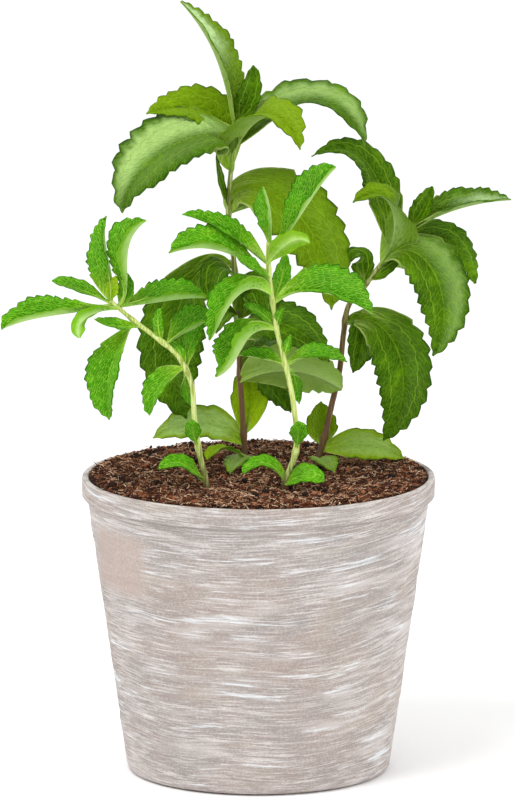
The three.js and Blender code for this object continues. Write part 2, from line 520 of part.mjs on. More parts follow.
function stemSolid(stem, curve) {
  const rings = [];
  let turned = new THREE.Vector3(1, 0, 0);
  for (let row = 0; row <= STEM.rings; row += 1) {
    const share = row / STEM.rings;
    const centre = curve.getPointAt(share);
    const along = curve.getTangentAt(share);
    turned = turned.clone().addScaledVector(along, -turned.dot(along)).normalize();
    const across = new THREE.Vector3().crossVectors(along, turned);
    const height = centre.z - stem.path[0][2];
    const grown = THREE.MathUtils.clamp((share - stem.soilShare) / (1 - stem.soilShare), 0, 1);
    let radius = THREE.MathUtils.lerp(stem.radius[0], stem.radius[1], grown);
    for (const node of stem.nodes) {
      const away = (grown - node) * stem.length / STEM.nodeLength;
      radius *= 1 + STEM.nodeSwell * Math.exp(-away * away) * smoothstep(0, STEM.plainFoot, height);
    }
    rings.push(Array.from({ length: STEM.sides }, (_, i) => {
      const turn = i * 2 * Math.PI / STEM.sides;
      return centre.clone()
        .addScaledVector(turned, radius * Math.cos(turn))
        .addScaledVector(across, radius * Math.sin(turn));
    }));
  }
  return toManifold(skin(rings));
}

function leafyStemGeometry(stem) {
  const above = new THREE.CatmullRomCurve3(stem.path.map(vec), false, 'centripetal');
  const [x, y, z] = stem.path[0];
  const buried = [-1, -0.5].map((share) => new THREE.Vector3(x, y, z + share * STEM.buried));
  const whole = new THREE.CatmullRomCurve3([...buried, ...stem.path.map(vec)], false, 'centripetal');
  const length = above.getLength();
  const soilShare = STEM.buried / (STEM.buried + length);
  const solids = stem.leaves.map((leaf) => leafSolid(
    { ...PLAIN_LEAF, belly: stem.belly, ...leaf }, above.getPointAt(leaf.at)));
  const core = stemSolid({ ...stem, length, soilShare }, whole);
  return toGeometry(largestBody(wasm.Manifold.union([core, ...solids])));
}

// ---- the whole plant -----------------------------------------------------------------------------

const plant = new THREE.Group();
plant.name = 'potted_stevia';

const potMaterial = new THREE.MeshStandardMaterial({ color: 0xc9b9b1, roughness: 0.75, metalness: 0 });
const soilMaterial = new THREE.MeshStandardMaterial({ color: 0x4a3024, roughness: 1, metalness: 0 });
plant.add(namedMesh('pot', potGeometry(), potMaterial));
plant.add(namedMesh('soil', soilGeometry(), soilMaterial));
for (const stem of LEAFY_STEMS) {
  const material = new THREE.MeshStandardMaterial({ color: stem.colour, roughness: 0.55, metalness: 0 });
  plant.add(namedMesh(stem.name, leafyStemGeometry(stem), material));
}

export default plant;
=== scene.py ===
"""Looks of a potted stevia plant: four leafy stems in coir soil in a brushed pot.

The lists hold millimetres and the meshes metres. +Z is up, and the front of the plant looks along -Y.
"""

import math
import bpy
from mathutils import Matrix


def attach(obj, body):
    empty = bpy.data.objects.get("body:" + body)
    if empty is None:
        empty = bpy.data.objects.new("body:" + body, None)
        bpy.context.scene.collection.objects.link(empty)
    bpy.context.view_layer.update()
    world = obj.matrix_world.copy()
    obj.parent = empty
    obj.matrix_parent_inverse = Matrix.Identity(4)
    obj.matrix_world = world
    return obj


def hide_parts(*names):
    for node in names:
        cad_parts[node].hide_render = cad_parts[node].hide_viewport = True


bl_info = {
    "name": "Potted Stevia",
    "version": (1, 0, 0),
    "blender": (4, 5, 0),
    "location": "View3D > Sidebar > Stevia",
    "description": "Builds the looks of a stevia plant in its pot around its packed solids",
    "category": "Add Mesh",
}

from collections.abc import Callable
from typing import NamedTuple

import bpy
import numpy as np
from bpy.props import FloatProperty, FloatVectorProperty, IntProperty, PointerProperty
from mathutils import Vector, noise

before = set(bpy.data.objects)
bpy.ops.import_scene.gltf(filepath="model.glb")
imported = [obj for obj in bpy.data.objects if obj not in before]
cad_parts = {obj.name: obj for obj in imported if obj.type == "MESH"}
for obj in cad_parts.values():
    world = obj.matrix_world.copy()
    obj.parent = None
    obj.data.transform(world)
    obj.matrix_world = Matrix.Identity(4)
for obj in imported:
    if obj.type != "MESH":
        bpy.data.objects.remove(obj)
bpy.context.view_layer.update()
MM = 0.001


def tint(red, green, blue):
    """A screen colour, 0 to 255, as the linear colour that materials take."""
    shares = [value / 255 for value in (red, green, blue)]
    return tuple(s / 12.92 if s <= 0.04045 else ((s + 0.055) / 1.055) ** 2.4 for s in shares)


def shaded(colour, share):
    """A darker shade of a colour."""
    return tuple(channel * share for channel in colour)


# ---- the plant's growth --------------------------------------------------------------------------


class Leaf(NamedTuple):
    """A leaf that springs from its stem at a share of its path, passes `via` and ends at `tip`.

    Its upper side looks along face_base where it springs and along face_tip at its tip, or one way all
    along. Its halves are folded up by `fold` degrees, `belly` is where it is broadest and a small `taper`
    rounds its tip. The last four turn its green yellower and paint on it a pale sheen over both halves, a
    pale sheen on the half that the sign picks and a whitish sheen along its middle towards the tip.
    """

    at: float
    via: list
    tip: tuple
    width: float
    teeth: int
    face_base: tuple
    face_tip: tuple = ()
    fold: float = 14
    neck: float = 1.4
    belly: float = 0
    taper: float = 0.85
    stalk: float = 0
    yellow: float = 0
    soft: float = 0
    pale: float = 0
    frost: float = 0


def rear_leaf(at, via, tip, width):
    """A plain leaf behind its stem that bends back and down to its own side."""
    side = math.copysign(1, tip[0] - via[0])
    return Leaf(at, [via], tip, width, 4, (0.3 * side, 0.2, 0.9), (0.4 * side, 0.5, 0.7))


class Stem(NamedTuple):
    """A stem, from the soil to its crown, with the leaves that grow on it."""

    name: str
    foliage: str
    radius: tuple
    belly: float
    path: list
    nodes: list
    leaves: list

    def girth(self, share):
        """Radius at a share of the way from the soil to the crown."""
        foot, crown = self.radius
        return foot + (crown - foot) * share


BACK_LEFT = Stem(
    name="leafy_stem_back_left",
    foliage="old_foliage",
    radius=(1.25, 0.95),
    belly=0.46,
    path=[(-5.7, 23, 128), (-6.6, 23, 144.5), (-8, 23, 168), (-8.7, 22, 191.5), (-10, 21, 211.5),
          (-12.5, 20, 232.5), (-12.5, 19, 245), (-11.3, 18, 260), (-10, 18, 276)],
    nodes=[0.08, 0.26, 0.42, 0.56, 0.74, 0.88],
    leaves=[
        # at the soil
        Leaf(0.05, [(-23, 20, 145.5)], (-45, 15, 140), 17, 3,
             (-0.1, -0.6, 0.8), (-0.2, -0.85, 0.45), yellow=0.7, soft=1.1),
        Leaf(0.02, [(-9.5, 2, 132)], (-12, -16, 130.8), 11, 3,
             (0, -0.4, 0.9), (-0.2, -0.5, 0.8), yellow=0.4, soft=0.5),
        Leaf(0.02, [(-8.7, 15, 134), (-15.5, 6, 137.5)], (-21.5, -4, 134.3), 9, 3,
             (-0.2, -0.5, 0.85), (-0.5, -0.5, 0.7), belly=0.66, taper=0.6, yellow=0.8),
        Leaf(0.08, [(-4, 29, 154)], (-3.2, 37, 173), 16, 2, (0, -1, 0.1), (0, -1, 0.3), yellow=1.1),
        # low pairs
        Leaf(0.37, [(11, 6, 191)], (30, 0, 176), 22, 5, (0.1, -0.7, 0.7), (0.3, -0.8, 0.4)),
        Leaf(0.24, [(14.5, 12, 170)], (35.5, 8, 162.5), 26, 4,
             (0, 0.8, 0.5), (0.1, 0.9, 0.3), taper=0.6, yellow=0.5, soft=0.6),
        Leaf(0.27, [(1.5, 30, 168)], (14, 34, 147.5), 19, 4, (0.1, -0.7, 0.6), (0.2, -0.8, 0.5)),
        rear_leaf(0.27, (8, 42, 178), (24, 58, 168), 16),
        Leaf(0.41, [(-13.5, 10, 195.5)], (-18, 4, 187.5), 10, 3, (-0.1, -0.7, 0.7), (-0.2, -0.9, 0.3)),
        Leaf(0.42, [(-1, 14, 205)], (3, 8, 191.5), 16, 3, (0, -0.7, 0.7), (0.1, -1, 0.2)),
        # the great leaf on the left and its fellows
        Leaf(0.56, [(-24.5, 22, 212), (-36.5, 16, 186)], (-30.5, 10, 149.5), 29, 6,
             (-0.2, -0.8, 0.6), (-0.1, -1, 0.2), fold=10, neck=3, belly=0.56),
        Leaf(0.55, [(-18, 8, 214)], (-20, 4, 200), 13, 3, (-0.3, -0.6, 0.7), (-0.1, -1, 0.1)),
        rear_leaf(0.58, (-24, 44, 206), (-38, 62, 190), 18),
        # the great leaf on the right
        Leaf(0.735, [(0, 14, 248), (21, 6, 233)], (31, 2, 198), 32, 6,
             (0, -0.5, 0.9), (0.3, -0.9, 0.3), fold=9, neck=3, yellow=0.3),
        Leaf(0.75, [(-16.8, 16, 252.5)], (-17.6, 14, 264), 8, 2, (0.8, -0.3, 0.3)),
        rear_leaf(0.74, (14, 40, 236), (30, 58, 216), 20),
        # crown
        Leaf(0.86, [(-21, 8, 272), (-44, -2, 264)], (-57.5, -8, 241.5), 36, 6,
             (-0.5, -0.5, 0.7), (-0.39, -0.77, 0.51), fold=16, neck=4, stalk=0.1, pale=-0.9, soft=0.12),
        Leaf(0.88, [(-18, 20, 278), (-33, 16, 283)], (-47.5, 10, 281), 21, 5,
             (0.6, -0.6, 0.3), (-0.3, -0.6, 0.7), fold=20, neck=6, stalk=0.08, yellow=0.4),
        Leaf(0.86, [(-5, 11, 274), (7, 4, 281)], (17.6, -2, 267.5), 26, 5,
             (-0.6, 0.5, 0.4), (0.3, -0.6, 0.7), fold=26, neck=9, belly=0.42, yellow=0.5),
        Leaf(0.92, [(6, 26, 278), (28, 20, 284.5)], (45.5, 12, 266), 26, 5,
             (-0.2, -0.3, 0.95), (0.5, -0.45, 0.75), fold=24, neck=2, pale=0.7),
        rear_leaf(0.9, (-28, 38, 262), (-48, 54, 250), 16),
        Leaf(1, [(-13.8, 17, 292.5), (-20.2, 16, 310)], (-33, 14, 328.5), 19.5, 6,
             (0.74, -0.49, 0.47), fold=42, yellow=0.25, soft=0.12, frost=1.3),
        Leaf(0.99, [(-3.6, 14, 289)], (-2.3, 12, 301.5), 11, 3,
             (-0.2, -0.9, 0.2), (0, -1, 0.3), fold=20, taper=0.6),
    ],
)

BACK_RIGHT = Stem(
    name="leafy_stem_back_right",
    foliage="old_foliage",
    radius=(1.35, 0.95),
    belly=0.46,
    path=[(25.3, 17, 128.5), (28.3, 18, 140.5), (31.2, 19, 153.5), (34.6, 20, 168.5),
          (36.3, 20, 184.5), (38.5, 19, 197), (45.7, 17, 206.5), (53.3, 14, 217), (61.8, 12, 227),
          (66, 10, 233.5)],
    nodes=[0.1, 0.54, 0.7, 0.84],
    leaves=[
        # at the soil
        Leaf(0.05, [(44, 14, 137)], (62, 8, 132.5), 16, 3,
             (0.1, -0.6, 0.8), (0.2, -0.85, 0.45), yellow=0.7, soft=0.65),
        Leaf(0.02, [(27.5, 4, 132.5)], (32, -13, 131), 12, 3,
             (0, -0.4, 0.9), (0.2, -0.5, 0.8), yellow=0.4, soft=0.5),
        Leaf(0.07, [(27, 24, 142.5)], (26.8, 28, 153.5), 14, 2, (0, -1, 0.1), (0, -1, 0.3), yellow=0.5),
        # the great leaf and its fellows
        Leaf(0.53, [(53, 10, 188.5), (61.5, 2, 169)], (53, 0, 142), 26, 6,
             (0.2, -0.5, 0.8), (0.1, -1, 0.2), fold=10, neck=3),
        Leaf(0.54, [(44.5, 14, 188)], (40.2, 12, 169), 14, 3, (0.3, -0.6, 0.7), (0.1, -1, 0.1)),
        rear_leaf(0.54, (52, 40, 178), (60, 56, 160), 18),
        # a small pair
        Leaf(0.69, [(43, 14, 220)], (36.8, 10, 215.5), 10, 3, (0, -0.3, 1), (-0.3, -0.6, 0.7)),
        Leaf(0.73, [(55, 12, 213.5)], (61, 10, 219.5), 7, 2, (-0.5, -0.6, 0.6)),
        # crown
        Leaf(0.81, [(68.5, 2, 221.5), (78, -6, 204)], (73.7, -10, 180.5), 27, 6,
             (0.2, -0.5, 0.8), (0.3, -0.9, 0.3), fold=12, neck=4, pale=0.42),
        rear_leaf(0.81, (72, 34, 206), (80, 50, 190), 16),
        Leaf(0.86, [(78, 12, 227)], (92, 4, 209), 17, 5, (0, -0.6, 0.8), (0.4, -0.7, 0.5), fold=16, neck=4),
        Leaf(0.8, [(58, 8, 233), (53.5, 4, 246)], (40, 0, 244.5), 21, 4,
             (0.6, 0.5, 0.4), (-0.3, -0.6, 0.7), fold=26, neck=7, belly=0.42, yellow=0.3),
        Leaf(0.86, [(51, 22, 249.5), (39, 18, 264)], (22.5, 14, 262), 17, 5,
             (0.4, -0.7, 0.4), (-0.2, -0.5, 0.8), fold=14, neck=3),
        Leaf(0.98, [(85, 8, 241)], (107, 4, 245.2), 19, 6, (-0.1, -0.35, 0.93), fold=36, frost=0.7),
        Leaf(0.97, [(70.3, 8, 242)], (73.7, 6, 250.5), 10, 3, (-0.3, -0.8, 0.4), fold=20, taper=0.6),
    ],
)

FRONT_LEFT = Stem(
    name="leafy_stem_front_left",
    foliage="young_foliage",
    radius=(1.25, 0.85),
    belly=0.5,
    path=[(-21.9, -31, 128.5), (-25.3, -33, 145), (-27, -34, 158.5), (-28.3, -35, 173.5),
          (-34.2, -36, 185.5), (-44.4, -37, 194.5), (-53.3, -38, 201.5), (-62.3, -39, 209.5)],
    nodes=[0.04, 0.18, 0.54, 0.7, 0.87],
    leaves=[
        # seed leaf at the soil
        Leaf(0.03, [(-27.5, -36, 136), (-33.5, -39, 140)], (-42, -42, 137.8), 10, 3,
             (0, -0.45, 0.9), (-0.2, -0.6, 0.8), fold=20, taper=0.6),
        Leaf(0.18, [(-27.4, -40, 153)], (-27.8, -44, 159.5), 7, 2,
             (0, -1, 0.4), (0, -1, 0.5), belly=0.68, taper=0.5),
        # first pair and its side leaves
        Leaf(0.55, [(-41, -38, 173.6)], (-46, -42, 161), 14, 4,
             (-0.5, -0.6, 0.6), (-0.6, -0.6, 0.5), fold=26),
        Leaf(0.53, [(-31, -28, 171)], (-28.7, -25, 162), 8, 2, (0.5, -0.8, 0.3), (0.5, -0.8, 0.2), fold=20),
        Leaf(0.55, [(-35, -33, 189)], (-39.3, -32, 188), 5, 2, (0, -0.6, 0.8)),
        Leaf(0.54, [(-28.3, -31, 189.5)], (-22.5, -29, 199), 9.5, 3,
             (-0.5, -0.8, 0.2), (-0.6, -0.7, 0.3), fold=22),
        # second pair
        Leaf(0.69, [(-29.1, -30, 195.4)], (-16.4, -27, 198.7), 21.5, 5,
             (0, -0.26, 0.965), fold=44, belly=0.58, taper=0.6),
        Leaf(0.71, [(-42.3, -38, 200)], (-41.4, -38, 206), 5, 2, (0, -1, 0.1), taper=0.5),
        # crown
        Leaf(0.865, [(-59.3, -42, 188.7), (-63.1, -44, 176.1)], (-62.7, -42, 159.2), 21, 6,
             (-0.59, -0.66, 0.47), (-0.68, -0.72, 0.07), fold=31, belly=0.55),
        Leaf(0.83, [(-61, -44, 199.5)], (-68.6, -50, 203.7), 9, 2, (0, -0.5, 0.85), fold=24),
        Leaf(0.97, [(-46.5, -34, 207.9), (-34.2, -31, 209)], (-22.3, -28, 208.8), 19.5, 5,
             (0, -0.28, 0.96), fold=46, belly=0.58, taper=0.55),
        Leaf(0.98, [(-79.7, -46, 205.9), (-94.1, -50, 204.1)], (-107.6, -53, 200), 18.5, 6,
             (0, -0.325, 0.945), (-0.2, -0.35, 0.92), fold=45, belly=0.62, taper=0.5),
        Leaf(0.98, [(-75, -33, 213.1)], (-86.9, -30, 216.2), 9, 3,
             (0, -0.48, 0.87), fold=30, belly=0.6, taper=0.5),
        Leaf(0.96, [(-72.9, -50, 204.1)], (-75, -54, 196.3), 8.5, 2,
             (0.1, 0.6, 0.8), (0, 0.95, 0.3), fold=12, belly=0.55, taper=0.5),
        Leaf(1, [(-62.5, -37, 221.9), (-64.5, -36, 232.9)], (-63.8, -35, 244.9), 18, 5,
             (-0.79, -0.6, 0.12), fold=42, belly=0.43),
        Leaf(0.96, [(-55.7, -42, 218.6), (-55, -44, 232.4)], (-47, -46, 244.9), 20, 6,
             (-0.89, -0.44, 0.09), (-0.53, -0.31, 0.79), fold=48, belly=0.66),
        Leaf(1, [(-61.4, -42, 215.5)], (-59.7, -44, 221), 6, 2, (0, -1, 0.2), (0, -1, 0.3), yellow=1),
        Leaf(0.95, [(-55.5, -36, 213.5)], (-56.7, -34, 221.5), 8, 2, (-0.4, -0.9, 0.2)),
    ],
)

FRONT_CENTRE = Stem(
    name="leafy_stem_front_centre",
    foliage="young_foliage",
    radius=(1.25, 0.85),
    belly=0.5,
    path=[(10.8, -33, 128.5), (15.9, -35, 145.5), (14.7, -36, 165), (11.3, -37, 182),
          (7.9, -37, 195.5), (5.7, -37, 211), (4, -37, 226.5), (4, -37, 234)],
    nodes=[0.04, 0.15, 0.51, 0.67, 0.76, 0.9],
    leaves=[
        # seed leaves at the soil
        Leaf(0.02, [(7, -35, 137), (0.5, -37, 139.5)], (-6.8, -38, 135), 9, 3,
             (0, -0.45, 0.9), (-0.3, -0.5, 0.8), fold=22, taper=0.6),
        Leaf(0.01, [(15, -38, 133), (20.5, -42, 135.2)], (27.5, -45, 133), 12, 3,
             (0, -0.6, 0.8), (0.2, -0.7, 0.65), fold=18, taper=0.6),
        Leaf(0.15, [(16.8, -41, 153)], (16.4, -45, 159), 8, 2,
             (0, -1, 0.4), (0, -1, 0.5), belly=0.68, taper=0.5),
        # first pair and its side leaves
        Leaf(0.51, [(0.6, -32, 183.9)], (-8.7, -28, 184.2), 10, 3,
             (0, -0.35, 0.93), (0, -0.4, 0.9), fold=35),
        Leaf(0.51, [(23.6, -40, 186.3)], (37.2, -43, 184), 13, 4,
             (0, -0.35, 0.93), (0.1, -0.4, 0.9), fold=28),
        Leaf(0.49, [(15.1, -29, 175.5)], (17.2, -27, 163), 8, 2,
             (-0.5, -0.8, 0.3), (-0.5, -0.8, 0.1), fold=20),
        Leaf(0.54, [(12.1, -39, 190.5)], (13.4, -40, 195), 4.5, 2, (-0.3, -0.9, 0.2)),
        # second pair
        Leaf(0.66, [(-4, -42, 195.2), (-9.6, -46, 186.5)], (-18, -48, 178.6), 24, 5,
             (-0.7, -0.31, 0.64), fold=49, belly=0.55),
        Leaf(0.66, [(0.6, -36, 204)], (-6.2, -35, 207), 6, 2, (0, -0.6, 0.8), taper=0.5),
        Leaf(0.66, [(8.7, -39, 203)], (10.8, -40, 206.5), 4.5, 2, (0, -0.6, 0.8)),
        # third pair
        Leaf(0.8, [(-7.4, -45, 214.4), (-15.5, -49, 203.9)], (-20.6, -51, 194.8), 20.5, 5,
             (-0.7, -0.4, 0.6), (-0.85, -0.4, 0.35), fold=45, belly=0.5),
        Leaf(0.76, [(19.8, -40, 214), (34.6, -43, 211.8)], (47.8, -46, 205.1), 26.5, 6,
             (0, -0.485, 0.87), (0.38, -0.48, 0.78), fold=38, belly=0.56),
        Leaf(0.76, [(10, -29, 218)], (11.3, -26, 228), 8, 3, (-0.2, -0.9, 0.1)),
        # crown
        Leaf(0.86, [(-2.3, -46, 225)], (-9.6, -49, 230.5), 9.5, 3, (0, -0.6, 0.8), fold=20),
        Leaf(0.88, [(-10.8, -40, 229.6), (-24, -42, 232.8)], (-37.6, -43, 230.5), 21.5, 6,
             (0, -0.34, 0.94), (-0.25, -0.34, 0.9), fold=44, belly=0.62),
        Leaf(0.92, [(-8.7, -34, 234.1), (-20.2, -33.5, 241.1)], (-32.1, -33, 245.3), 14.5, 5,
             (0.4, -0.46, 0.79), fold=38),
        Leaf(0.92, [(13.4, -46, 236)], (21.5, -50, 236.2), 10, 3,
             (0, 0.9, 0.4), (0.1, 0.9, 0.4), fold=10, taper=0.5, yellow=0.5),
        Leaf(0.97, [(4.8, -36, 245.3)], (1.8, -34, 257.2), 15, 3,
             (-0.9, -0.42, 0.1), (-0.9, -0.42, 0), fold=36, belly=0.6, taper=0.6),
        Leaf(0.97, [(13.4, -33, 239.3), (22.7, -32, 252.9)], (32.5, -31, 265), 20.5, 6,
             (-0.65, -0.48, 0.59), fold=43, belly=0.62, taper=0.45),
    ],
)

STEMS = (BACK_LEFT, BACK_RIGHT, FRONT_LEFT, FRONT_CENTRE)


# ---- settings ------------------------------------------------------------------------------------


def length_setting(name, description, millimetres):
    return FloatProperty(name=name, description=description, default=millimetres * MM, unit="LENGTH",
                         precision=5)


def colour_setting(name, description, *colour):
    return FloatVectorProperty(name=name, description=description, default=tint(*colour), size=3,
                               min=0, max=1, subtype="COLOR")


class PotSettings(bpy.types.PropertyGroup):
    """Sizes and colours of the pot."""

    relief: length_setting("Relief", "How far the turned wall strays from a true cone", 0.35)
    steps: IntProperty(name="Steps", description="Faces round the pot", default=240, min=24)
    clay: colour_setting("Clay", "Main colour under the brushwork", 164, 151, 144)
    shade: colour_setting("Shade", "Greyer patches of the ground colour", 157, 149, 145)
    wash: colour_setting("Wash", "Brushed pale coat", 216, 209, 206)
    groove: colour_setting("Groove", "Fine dark lines between brush marks", 140, 129, 123)


class SoilSettings(bpy.types.PropertyGroup):
    """Sizes and colours of the soil."""

    fibres: IntProperty(name="Fibres", description="Coir fibres on the surface", default=9400, min=0)
    threads: IntProperty(name="Threads", description="Fine threads on the surface", default=8000, min=0)
    crumbs: IntProperty(name="Crumbs", description="Loose crumbs on the surface", default=4000, min=0)
    fibre_length: length_setting("Fibre Length", "Length of a coir fibre", 3.3)
    crumb_size: length_setting("Crumb Size", "Breadth of a middling crumb", 1.5)
    peat: colour_setting("Peat", "Darkest crumbs", 24, 13, 8)
    coir: colour_setting("Coir", "Reddish-brown coir", 122, 66, 36)
    straw: colour_setting("Straw", "Palest fibres", 240, 206, 172)


class FoliageSettings(bpy.types.PropertyGroup):
    """Sizes and colours of the leafy stems."""

    thickness: length_setting("Thickness", "Thickness of a blade", 0.32)
    cell: length_setting("Cell", "Size of a blade's mesh cells", 0.85)
    hair: length_setting("Hair", "Length of the fine hairs on a stem", 0.7)
    old_leaf: colour_setting("Old Leaf", "Upper side of the dark leaves", 62, 104, 0)
    young_leaf: colour_setting("Young Leaf", "Upper side of the bright leaves", 76, 159, 0)
    old_vein: colour_setting("Old Vein", "Veins of the dark leaves", 146, 186, 44)
    young_vein: colour_setting("Young Vein", "Veins of the bright leaves", 184, 232, 84)
    old_under: colour_setting("Old Underside", "Underside of the dark leaves, at the rib", 146, 174, 104)
    young_under: colour_setting("Young Underside", "Underside of the bright leaves, at the rib",
                                176, 212, 126)
    old_flank: colour_setting("Old Flank", "Underside of the dark leaves, at the margin", 104, 142, 36)
    young_flank: colour_setting("Young Flank", "Underside of the bright leaves, at the margin",
                                114, 174, 16)
    bark: colour_setting("Stem Foot", "Foot of the dark stems", 110, 74, 52)
    old_stem: colour_setting("Old Stem", "Upper part of the dark stems", 140, 156, 70)
    young_stem: colour_setting("Young Stem", "Bright stems", 194, 210, 108)


class StageSettings(bpy.types.PropertyGroup):
    """Floor, light and camera."""

    distance: FloatProperty(name="Distance", description="Camera to plant", default=4.0, unit="LENGTH")
    lens: FloatProperty(name="Lens", description="Focal length", default=423.5, unit="CAMERA")
    elevation: FloatProperty(name="Elevation", description="Camera's height above level",
                             default=math.radians(10.9), unit="ROTATION")
    aim: length_setting("Aim", "Height that the camera looks at", 159.5)
    floor: colour_setting("Floor", "Pale floor", 253, 253, 253)
    sky: FloatProperty(name="Sky", description="Strength of the light all round", default=1.0)
    key: FloatProperty(name="Key", description="Strength of the main light", default=15.0, unit="POWER")


# ---- material helpers ----------------------------------------------------------------------------


class Signal:
    """A node's output that takes part in arithmetic with numbers and other signals."""

    def __init__(self, finish, socket):
        self.finish = finish
        self.socket = socket

    def math(self, operation, *others):
        return self.finish.add("ShaderNodeMath", {"operation": operation}, [self, *others])

    def __add__(self, other):
        return self.math("ADD", other)

    def __sub__(self, other):
        return self.math("SUBTRACT", other)

    def __rsub__(self, other):
        return self.finish.add("ShaderNodeMath", {"operation": "SUBTRACT"}, [other, self])

    def __mul__(self, other):
        return self.math("MULTIPLY", other)

    def __truediv__(self, other):
        return self.math("DIVIDE", other)

    def __abs__(self):
        return self.math("ABSOLUTE")

    __radd__ = __add__
    __rmul__ = __mul__

    def rise(self, low, high):
        """0 at low, 1 at high and a soft step between, or a fall where low is above high."""
        return self.finish.add("ShaderNodeMapRange", {"interpolation_type": "SMOOTHSTEP"},
                               {"Value": self, "From Min": low, "From Max": high})


class Finish:
    """A material whose nodes are all added by one method."""

    def __init__(self, name, roughness, gloss=0.3):
        self.material = bpy.data.materials.new(name)
        self.material.use_nodes = True
        self.tree = self.material.node_tree
        self.shader = self.tree.nodes["Principled BSDF"]
        self.shader.inputs["Roughness"].default_value = roughness
        self.shader.inputs["Specular IOR Level"].default_value = gloss

    def add(self, kind, settings=None, inputs=(), output=0):
        node = self.tree.nodes.new(kind)
        for key, value in (settings or {}).items():
            if key == "stops":
                self.set_stops(node.color_ramp, value)
            else:
                setattr(node, key, value)
        wires = inputs.items() if isinstance(inputs, dict) else enumerate(inputs)
        for key, value in wires:
            if isinstance(value, Signal):
                self.tree.links.new(value.socket, node.inputs[key])
            else:
                node.inputs[key].default_value = value
        return Signal(self, node.outputs[output])

    @staticmethod
    def set_stops(ramp, stops):
        while len(ramp.elements) < len(stops):
            ramp.elements.new(0.5)
        for element, (place, colour) in zip(ramp.elements, stops):
            element.position = place
            element.color = (*colour, 1)

    def feed(self, name, signal):
        self.tree.links.new(signal.socket, self.shader.inputs[name])

    def split(self, vector):
        node = self.add("ShaderNodeSeparateXYZ", inputs=[vector]).socket.node
        return [Signal(self, socket) for socket in node.outputs]

    def place(self):
        return self.add("ShaderNodeTexCoord", output="Object")

    def attribute(self, name, output="Vector"):
        return self.add("ShaderNodeAttribute", {"attribute_name": name}, output=output)

    def vector(self, x, y, z):
        return self.add("ShaderNodeCombineXYZ", inputs=[x, y, z])

    def noise(self, vector, scale=1.0, detail=2.0, roughness=0.5):
        return self.add("ShaderNodeTexNoise", inputs={
            "Vector": vector, "Scale": scale, "Detail": detail, "Roughness": roughness})

    def mix(self, factor, first, second):
        colours = [c if isinstance(c, Signal) else (*c, 1) for c in (first, second)]
        return self.add("ShaderNodeMix", {"data_type": "RGBA"}, {0: factor, 6: colours[0], 7: colours[1]},
                        output=2)

    def layers(self, colour, coats):
        """Lays coats over a colour in turn, each given by how far it covers and its own colour."""
        for cover, coat in coats:
            colour = self.mix(cover, colour, coat)
        return colour

    def bump(self, height, distance, strength):
        self.feed("Normal", self.add("ShaderNodeBump", inputs={
            "Height": height, "Distance": distance, "Strength": strength}))


# ---- modelling helpers ---------------------------------------------------------------------------

WELD = 0.001                      # points that are closer than this become one
CREASE = math.radians(40)         # edges that are sharper than this stay sharp


def deselect():
    if bpy.context.mode != "OBJECT":
        bpy.ops.object.mode_set(mode="OBJECT")
    bpy.ops.object.select_all(action="DESELECT")


def pick(*pieces):
    """Selects the pieces, with the first one active."""
    deselect()
    for piece in pieces:
        piece.select_set(True)
    bpy.context.view_layer.objects.active = pieces[0]


def join(pieces, name):
    pick(*pieces)
    if len(pieces) > 1:
        bpy.ops.object.join()
    piece = bpy.context.active_object
    piece.name = piece.data.name = name
    return piece


def places(mesh):
    """Points of a mesh as an array of x, y, z rows."""
    flat = np.empty(len(mesh.vertices) * 3)
    mesh.vertices.foreach_get("co", flat)
    return flat.reshape(-1, 3)


def move_points(mesh, points):
    mesh.vertices.foreach_set("co", np.ascontiguousarray(points, dtype=np.float32).ravel())
    mesh.update()


def mark_points(mesh, name, kind, values):
    """Writes an attribute for a mesh's points, which its material reads."""
    field = "vector" if kind == "FLOAT_VECTOR" else "value"
    mesh.attributes.new(name, kind, "POINT").data.foreach_set(
        field, np.ascontiguousarray(values, dtype=np.float32).ravel())


def close_up():
    """Merges the doubles of the mesh in edit mode, turns its faces outwards and leaves edit mode."""
    bpy.ops.mesh.select_all(action="SELECT")
    bpy.ops.mesh.remove_doubles(threshold=WELD * MM)
    bpy.ops.mesh.normals_make_consistent(inside=False)
    bpy.ops.object.mode_set(mode="OBJECT")


def turned_body(name, profile, steps):
    """Draws a profile of radius and height by extruding one point along it, and spins it round."""
    deselect()
    bpy.ops.mesh.primitive_plane_add(size=MM)
    piece = bpy.context.active_object
    piece.name = name
    bpy.ops.object.mode_set(mode="EDIT")
    bpy.ops.mesh.select_all(action="SELECT")
    bpy.ops.mesh.merge(type="CENTER")
    (radius, height), *rest = [(r * MM, z * MM) for r, z in profile]
    bpy.ops.transform.translate(value=(radius, 0, height))
    for next_radius, next_height in rest:
        bpy.ops.mesh.extrude_region_move(TRANSFORM_OT_translate={
            "value": (next_radius - radius, 0, next_height - height)})
        radius, height = next_radius, next_height
    bpy.ops.mesh.select_all(action="SELECT")
    bpy.ops.mesh.spin(steps=steps, angle=math.tau, center=(0, 0, 0), axis=(0, 0, 1))
    close_up()
    bpy.ops.object.shade_smooth_by_angle(angle=CREASE)
    return piece


def smoothstep(low, high, value):
    share = np.clip((value - low) / (high - low), 0, 1)
    return share * share * (3 - 2 * share)


def unit(vectors):
    return vectors / np.linalg.norm(vectors, axis=-1, keepdims=True)


def scatter(template, spots, turns, sizes):
    """Points and faces of many copies of a template mesh, each turned, sized and put on its spot."""
    points = places(template)
    faces = [tuple(face.vertices) for face in template.polygons]
    copies = np.einsum("nij,kj->nki", turns * sizes[:, None], points) + spots[:, None]
    step = len(points)
    repeated = [tuple(corner + i * step for corner in face) for i in range(len(spots)) for face in faces]
    return copies.reshape(-1, 3), repeated


def set_out(name, data):
    """Puts a mesh, curve, light or camera into the scene as an object."""
    piece = bpy.data.objects.new(name, data)
    bpy.context.scene.collection.objects.link(piece)
    return piece


